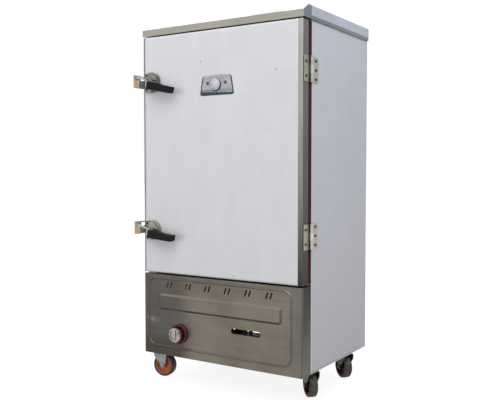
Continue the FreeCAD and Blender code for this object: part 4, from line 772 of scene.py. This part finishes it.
door_low, door_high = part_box("door_skin")
door_levels = (door_low.z, door_high.z)


def door_steel_material():
    material, tree, shader, place = new_material("door_steel", Metallic=1.0)
    parts = parts_of(tree, place)
    # Painted reflection: the bare margin and the door's side face fade from dark at the foot to light at the
    # head, and the left margin is one lighter grey.
    margin = faded(tree, place, door_levels, MARGIN_LOW, MARGIN_HIGH)
    at_left = ranged(tree, parts["X"], *[door_low.x + end for end in LEFT_MARGIN_ENDS])
    margin = mixed(tree, at_left, margin, LEFT_MARGIN)
    edge = faded(tree, place, door_levels, DOOR_SIDE_LOW, DOOR_SIDE_HIGH)
    turned = ranged(tree, parts["Y"], *[door_low.y + depth for depth in DOOR_CORNER])
    colour = mixed(tree, turned, margin, edge)
    finish_sheet(tree, shader, place, colour, GRAIN_UP, 0.28, smudge=0.8)
    return material


finish_nodes(door_steel_material(), "door_skin")
finish_nodes(plain_sheet("door_liner_steel", INNER_STEEL, GRAIN_ACROSS, 0.26), "door_liner")
gasket_rubber = coarse_material(
    "gasket_rubber", GASKET, GASKET_WORN, 500.0, 0.0001, 0.7, 0.3, 0.1, Specular_IOR_Level=0.2
)
finish_nodes(gasket_rubber, "door_gasket")

# The door film is painted lighter towards the top, as painted light.
door_film_look = film_material("door_film", door_levels, FILM_LOW, FILM_HIGH, marks=DOOR_STAINS)
left_margin, right_margin, end_margin = DOOR_MARGINS
film_width = door_high.x - door_low.x - left_margin - right_margin
film_height = door_high.z - door_low.z - 2 * end_margin
film_bm = film_sheet(film_width, film_height, seed=1.0)
film_middle = Vector((
    (door_low.x + left_margin + door_high.x - right_margin) / 2,
    door_low.y - FILM_LIFT,
    (door_low.z + door_high.z) / 2,
))
bmesh.ops.translate(film_bm, verts=film_bm.verts, vec=film_middle)
piece("door_film", film_bm, door_film_look, "door")

# Label
# A printed plastic label stuck on the door's film: a navy edge, a pale ground, a green band, a
# pale disc on a navy one, and two dots. It carries no lettering.
LABEL_CENTRE = (-0.002, 1.126)
LABEL_HALF = 0.075
LABEL_TOP_SHARE = 0.86
LABEL_HEIGHT = 0.070
LABEL_ARCH = 0.005
LABEL_STEP = 0.00025
NAVY = (0.018, 0.024, 0.045)
LAVENDER = (0.42, 0.41, 0.43)
BAND_GREEN = (0.24, 0.34, 0.26)
BAND_BLUE = (0.20, 0.25, 0.32)
DISC_PALE = (0.60, 0.57, 0.66)
DOT_BROWN = (0.075, 0.045, 0.045)
NAVY_FOOT = 0.05
CORNER_FROM = 0.86
CORNER_DROP = 0.10
PLATE_STEPS = (28, 10)
DISC_STEPS = 48
DOT_PLACES = (-0.040, 0.038)
DOT_LEVEL = 0.010
DOT_RADIUS = 0.006


def printed_material(name, colour, second=None):
    """Glossy printed plastic; with a second colour, one end fades into it."""
    material, tree, shader, place = new_material(name, Coat_Weight=0.3, Coat_Roughness=0.12)
    grained = pitted(tree, place, colour, Fineness=1200.0, Depth=0.00001, Mottle=0.5)
    base = grained["Colour"]
    if second:
        across = parts_of(tree, place)["X"]
        base = mixed(tree, ranged(tree, across, -LABEL_HALF, LABEL_HALF), second, base)
    finish_shader(tree, shader, base, grained)
    return material


def stuck_on_label(name, bm, layer, material, place=(0.0, 0.0)):
    """Thickens a flat shape and lays it on the door as one layer of the label."""
    lift = FILM_LIFT + FILM_RELIEF + layer * LABEL_STEP
    bmesh.ops.translate(bm, verts=bm.verts, vec=(place[0], door_low.y - lift, place[1]))
    bmesh.ops.solidify(bm, geom=bm.faces, thickness=LABEL_STEP)
    bmesh.ops.recalc_face_normals(bm, faces=bm.faces)
    piece(name, bm, material, "door")


def label_plate(name, layer, inset, foot, head, material):
    """One layer of the label: a tapered plate with an arched top, from foot to head of its height."""
    bm = bmesh.new()
    bmesh.ops.create_grid(bm, x_segments=PLATE_STEPS[0], y_segments=PLATE_STEPS[1], size=1.0)
    for vert in bm.verts:
        across = vert.co.x
        start = foot + NAVY_FOOT * (1 - across) * (foot > 0)
        share = start + (head - start) * (vert.co.y + 1) / 2
        half = LABEL_HALF * (1 + (LABEL_TOP_SHARE - 1) * share) - inset
        corner = CORNER_DROP * max(0.0, abs(across) - CORNER_FROM) / (1 - CORNER_FROM)
        rise = LABEL_ARCH * (1 - across * across) * share
        level = (share - 0.5) * LABEL_HEIGHT * (1 - corner)
        vert.co = (LABEL_CENTRE[0] + across * half, 0.0, LABEL_CENTRE[1] + level + rise)
    stuck_on_label(name, bm, layer, material)


def label_disc(name, layer, centre, radius, material):
    """A round layer of the label, spun from one spoke."""
    bm = bmesh.new()
    inner, outer = bm.verts.new((0, 0, 0)), bm.verts.new((radius, 0, 0))
    spoke = bm.edges.new((inner, outer))
    turn = {"cent": (0, 0, 0), "axis": (0, 1, 0), "angle": math.tau, "steps": DISC_STEPS}
    bmesh.ops.spin(bm, geom=[inner, outer, spoke], use_merge=True, **turn)
    bmesh.ops.remove_doubles(bm, verts=bm.verts, dist=1e-6)
    place = (LABEL_CENTRE[0] + centre[0], LABEL_CENTRE[1] + centre[1])
    stuck_on_label(name, bm, layer, material, place)


navy_print = printed_material("label_navy", NAVY)
label_plate("label_edge", 1, 0.0, 0.0, 1.0, navy_print)
label_plate("label_ground", 2, 0.0050, 0.09, 1.0, printed_material("label_ground", LAVENDER))
label_plate("label_band", 3, 0.0055, 0.09, 0.30, printed_material("label_band", BAND_GREEN, BAND_BLUE))
label_disc("label_ring", 4, (-0.004, 0.002), 0.0235, navy_print)
label_disc("label_disc", 5, (-0.0072, 0.0045), 0.0212, printed_material("label_disc", DISC_PALE))
dot_print = printed_material("label_dot", DOT_BROWN)
for number, across in enumerate(DOT_PLACES):
    label_disc("label_dot_%d" % (number + 1), 4, (across, DOT_LEVEL), DOT_RADIUS, dot_print)

# Hinges
# Two butt hinges of satin steel on the right. The door's leaf carries the middle knuckle, and the
# cabinet's leaf the two outer ones. The knuckles carry a painted highlight, brighter than the leaves.
HINGE = (0.34, 0.34, 0.29)
KNUCKLE_WARM_HIGHLIGHT = (0.50, 0.45, 0.43)
KNUCKLE_HIGHLIGHT = (0.62, 0.60, 0.56)
KNUCKLE_WIDTH = 0.008
KNUCKLE_SOFT = 0.002
KNUCKLE_AMOUNT = 0.9
GRAIN_FINE = (160.0, 160.0, 30.0)


def hinge_material(name, knuckle, node):
    """Satin steel, with a painted highlight on the knuckles along the right edge of a node's box."""
    material, tree, shader, place = new_material(name, Metallic=1.0)
    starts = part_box(node)[1].x - KNUCKLE_WIDTH
    on_knuckle = ranged(tree, parts_of(tree, place)["X"], starts, starts + KNUCKLE_SOFT, 0.0, KNUCKLE_AMOUNT)
    colour = mixed(tree, on_knuckle, HINGE, knuckle)
    finish_sheet(tree, shader, place, colour, GRAIN_FINE, 0.3, wave=0.0005)
    return material


finish_nodes(hinge_material("hinge_steel", KNUCKLE_WARM_HIGHLIGHT, "cabinet_hinge_leaves"), "cabinet_hinge_leaves")
finish_nodes(hinge_material("door_hinge_steel", KNUCKLE_HIGHLIGHT, "door_hinge_leaves"), "door_hinge_leaves")

# Latches
# Two lever latches on the left: a cast housing on the door, a steel lever on its pin with a black
# moulded grip, and a bent keeper on the cabinet with a worn bronze pad in its lip.
CASTING = (0.25, 0.245, 0.22)
CASTING_BRIGHT = (0.45, 0.44, 0.39)
LEVER = (0.42, 0.45, 0.39)
GRIP = (0.005, 0.0045, 0.005)
GRIP_WORN = (0.03, 0.028, 0.028)
PAD = (0.52, 0.31, 0.16)
PAD_WORN = (0.6, 0.34, 0.16)
KEEPER = (0.56, 0.58, 0.50)
KEEPER_DULL = (0.16, 0.16, 0.14)


def casting_material():
    """A plated casting: dull in its hollows and bright where it is rubbed."""
    material, tree, shader, place = new_material("plated_casting", Metallic=0.9)
    grained = pitted(tree, place, CASTING, Fineness=320.0, Depth=0.0003, Roughness=0.38, Mottle=1.3)
    base = worn_edges(tree, place, grained["Colour"], CASTING_BRIGHT, Width=0.003, Amount=0.9)
    finish_shader(tree, shader, base, grained)
    return material


casting = casting_material()
lever_steel = turned_metal("lever_steel", LEVER, 0.3)
grip_black = coarse_material(
    "grip_black", GRIP, GRIP_WORN, 700.0, 0.0001, 0.42, 0.4, 0.02, Specular_IOR_Level=0.15
)
pad_bronze = coarse_material("pad_bronze", PAD, PAD_WORN, 400.0, 0.0002, 0.42, 0.7, 0.0, Metallic=0.5)
keeper_steel = coarse_material(
    "keeper_steel", KEEPER, KEEPER_DULL, 300.0, 0.0002, 0.45, 0.7, 0.1, Metallic=0.1
)
finish_nodes(casting, "latch_housings")
finish_nodes(keeper_steel, "latch_keepers")
finish_nodes(lever_steel, "latch_lever_upper", "latch_lever_lower")
finish_nodes(grip_black, "latch_grip_upper", "latch_grip_lower")
finish_nodes(pad_bronze, "keeper_pads")

# Screws
# Pan-head screws with a cross recess hold the hinges, keepers, housings and the back. Their dark
# colour is painted shade of the recess and of the shadows round the heads.
SCREW_SHADED = (0.075, 0.08, 0.085)
finish_nodes(turned_metal("screw_steel", SCREW_SHADED, 0.34), "cabinet_screws", "door_screws")

# Studio
# A pale floor and a white surround, with one large soft sun and a weak one from behind.
FLOOR_SIZE = 60.0
FLOOR_SEEN = (0.15, 0.15, 0.15)
FLOOR_GLOW = 0.88
FLOOR_BOUNCE = (0.35, 0.35, 0.35)
SURROUND = 0.84
SUNS = (
    ("key_sun", (0.25, -0.55, 0.75), 1.1, 0.90),
    ("rear_sun", (-0.60, 0.60, 0.50), 0.8, 0.60),
)
CAMERA_PLACE = (1.48324, -2.37903, 0.81657)
CAMERA_PITCH = math.radians(90 - 2.36)
CAMERA_TURN = math.radians(32.49)
CAMERA_LENS = 50.88
CAMERA_SENSOR = 36.0


def seen_ray(tree):
    """1 for rays that show the surround itself, directly, in gloss or through glass."""
    path = put(tree, "ShaderNodeLightPath").outputs
    seen = math_node(tree, "ADD", path["Is Camera Ray"], path["Is Glossy Ray"])
    return math_node(tree, "ADD", seen, path["Is Transmission Ray"], clamp=True)


def floor_material():
    material, tree, shader, _ = new_material("floor_pale", Roughness=0.9, Emission_Color=(1, 1, 1, 1))
    seen = seen_ray(tree)
    tree.links.new(mixed(tree, seen, FLOOR_BOUNCE, FLOOR_SEEN), shader["Base Color"])
    tree.links.new(math_node(tree, "MULTIPLY", seen, FLOOR_GLOW), shader["Emission Strength"])
    return material


floor_bm = bmesh.new()
bmesh.ops.create_grid(floor_bm, x_segments=1, y_segments=1, size=FLOOR_SIZE / 2)
floor_mesh = bpy.data.meshes.new("floor")
floor_bm.to_mesh(floor_mesh)
floor_bm.free()
floor_mesh.materials.append(floor_material())
floor = bpy.data.objects.new("floor", floor_mesh)
bpy.context.scene.collection.objects.link(floor)

world = bpy.data.worlds.new("surround")
world.use_nodes = True
bpy.context.scene.world = world
surround_tree = world.node_tree
strength = math_node(surround_tree, "MULTIPLY_ADD", seen_ray(surround_tree), 1.0 - SURROUND, SURROUND)
background = surround_tree.nodes["Background"]
background.inputs["Color"].default_value = (1, 1, 1, 1)
surround_tree.links.new(strength, background.inputs["Strength"])

for name, towards, power, spread in SUNS:
    lamp = bpy.data.lights.new(name, "SUN")
    lamp.energy = power
    lamp.angle = spread
    sun = bpy.data.objects.new(name, lamp)
    sun.rotation_euler = Vector(towards).to_track_quat("Z", "Y").to_euler()
    bpy.context.scene.collection.objects.link(sun)

camera_data = bpy.data.cameras.new("camera")
camera_data.lens = CAMERA_LENS
camera_data.sensor_width = CAMERA_SENSOR
camera = bpy.data.objects.new("camera", camera_data)
camera.location = CAMERA_PLACE
camera.rotation_euler = (CAMERA_PITCH, 0.0, CAMERA_TURN)
bpy.context.scene.collection.objects.link(camera)
bpy.context.scene.camera = camera
bpy.context.scene.view_settings.view_transform = "Standard"
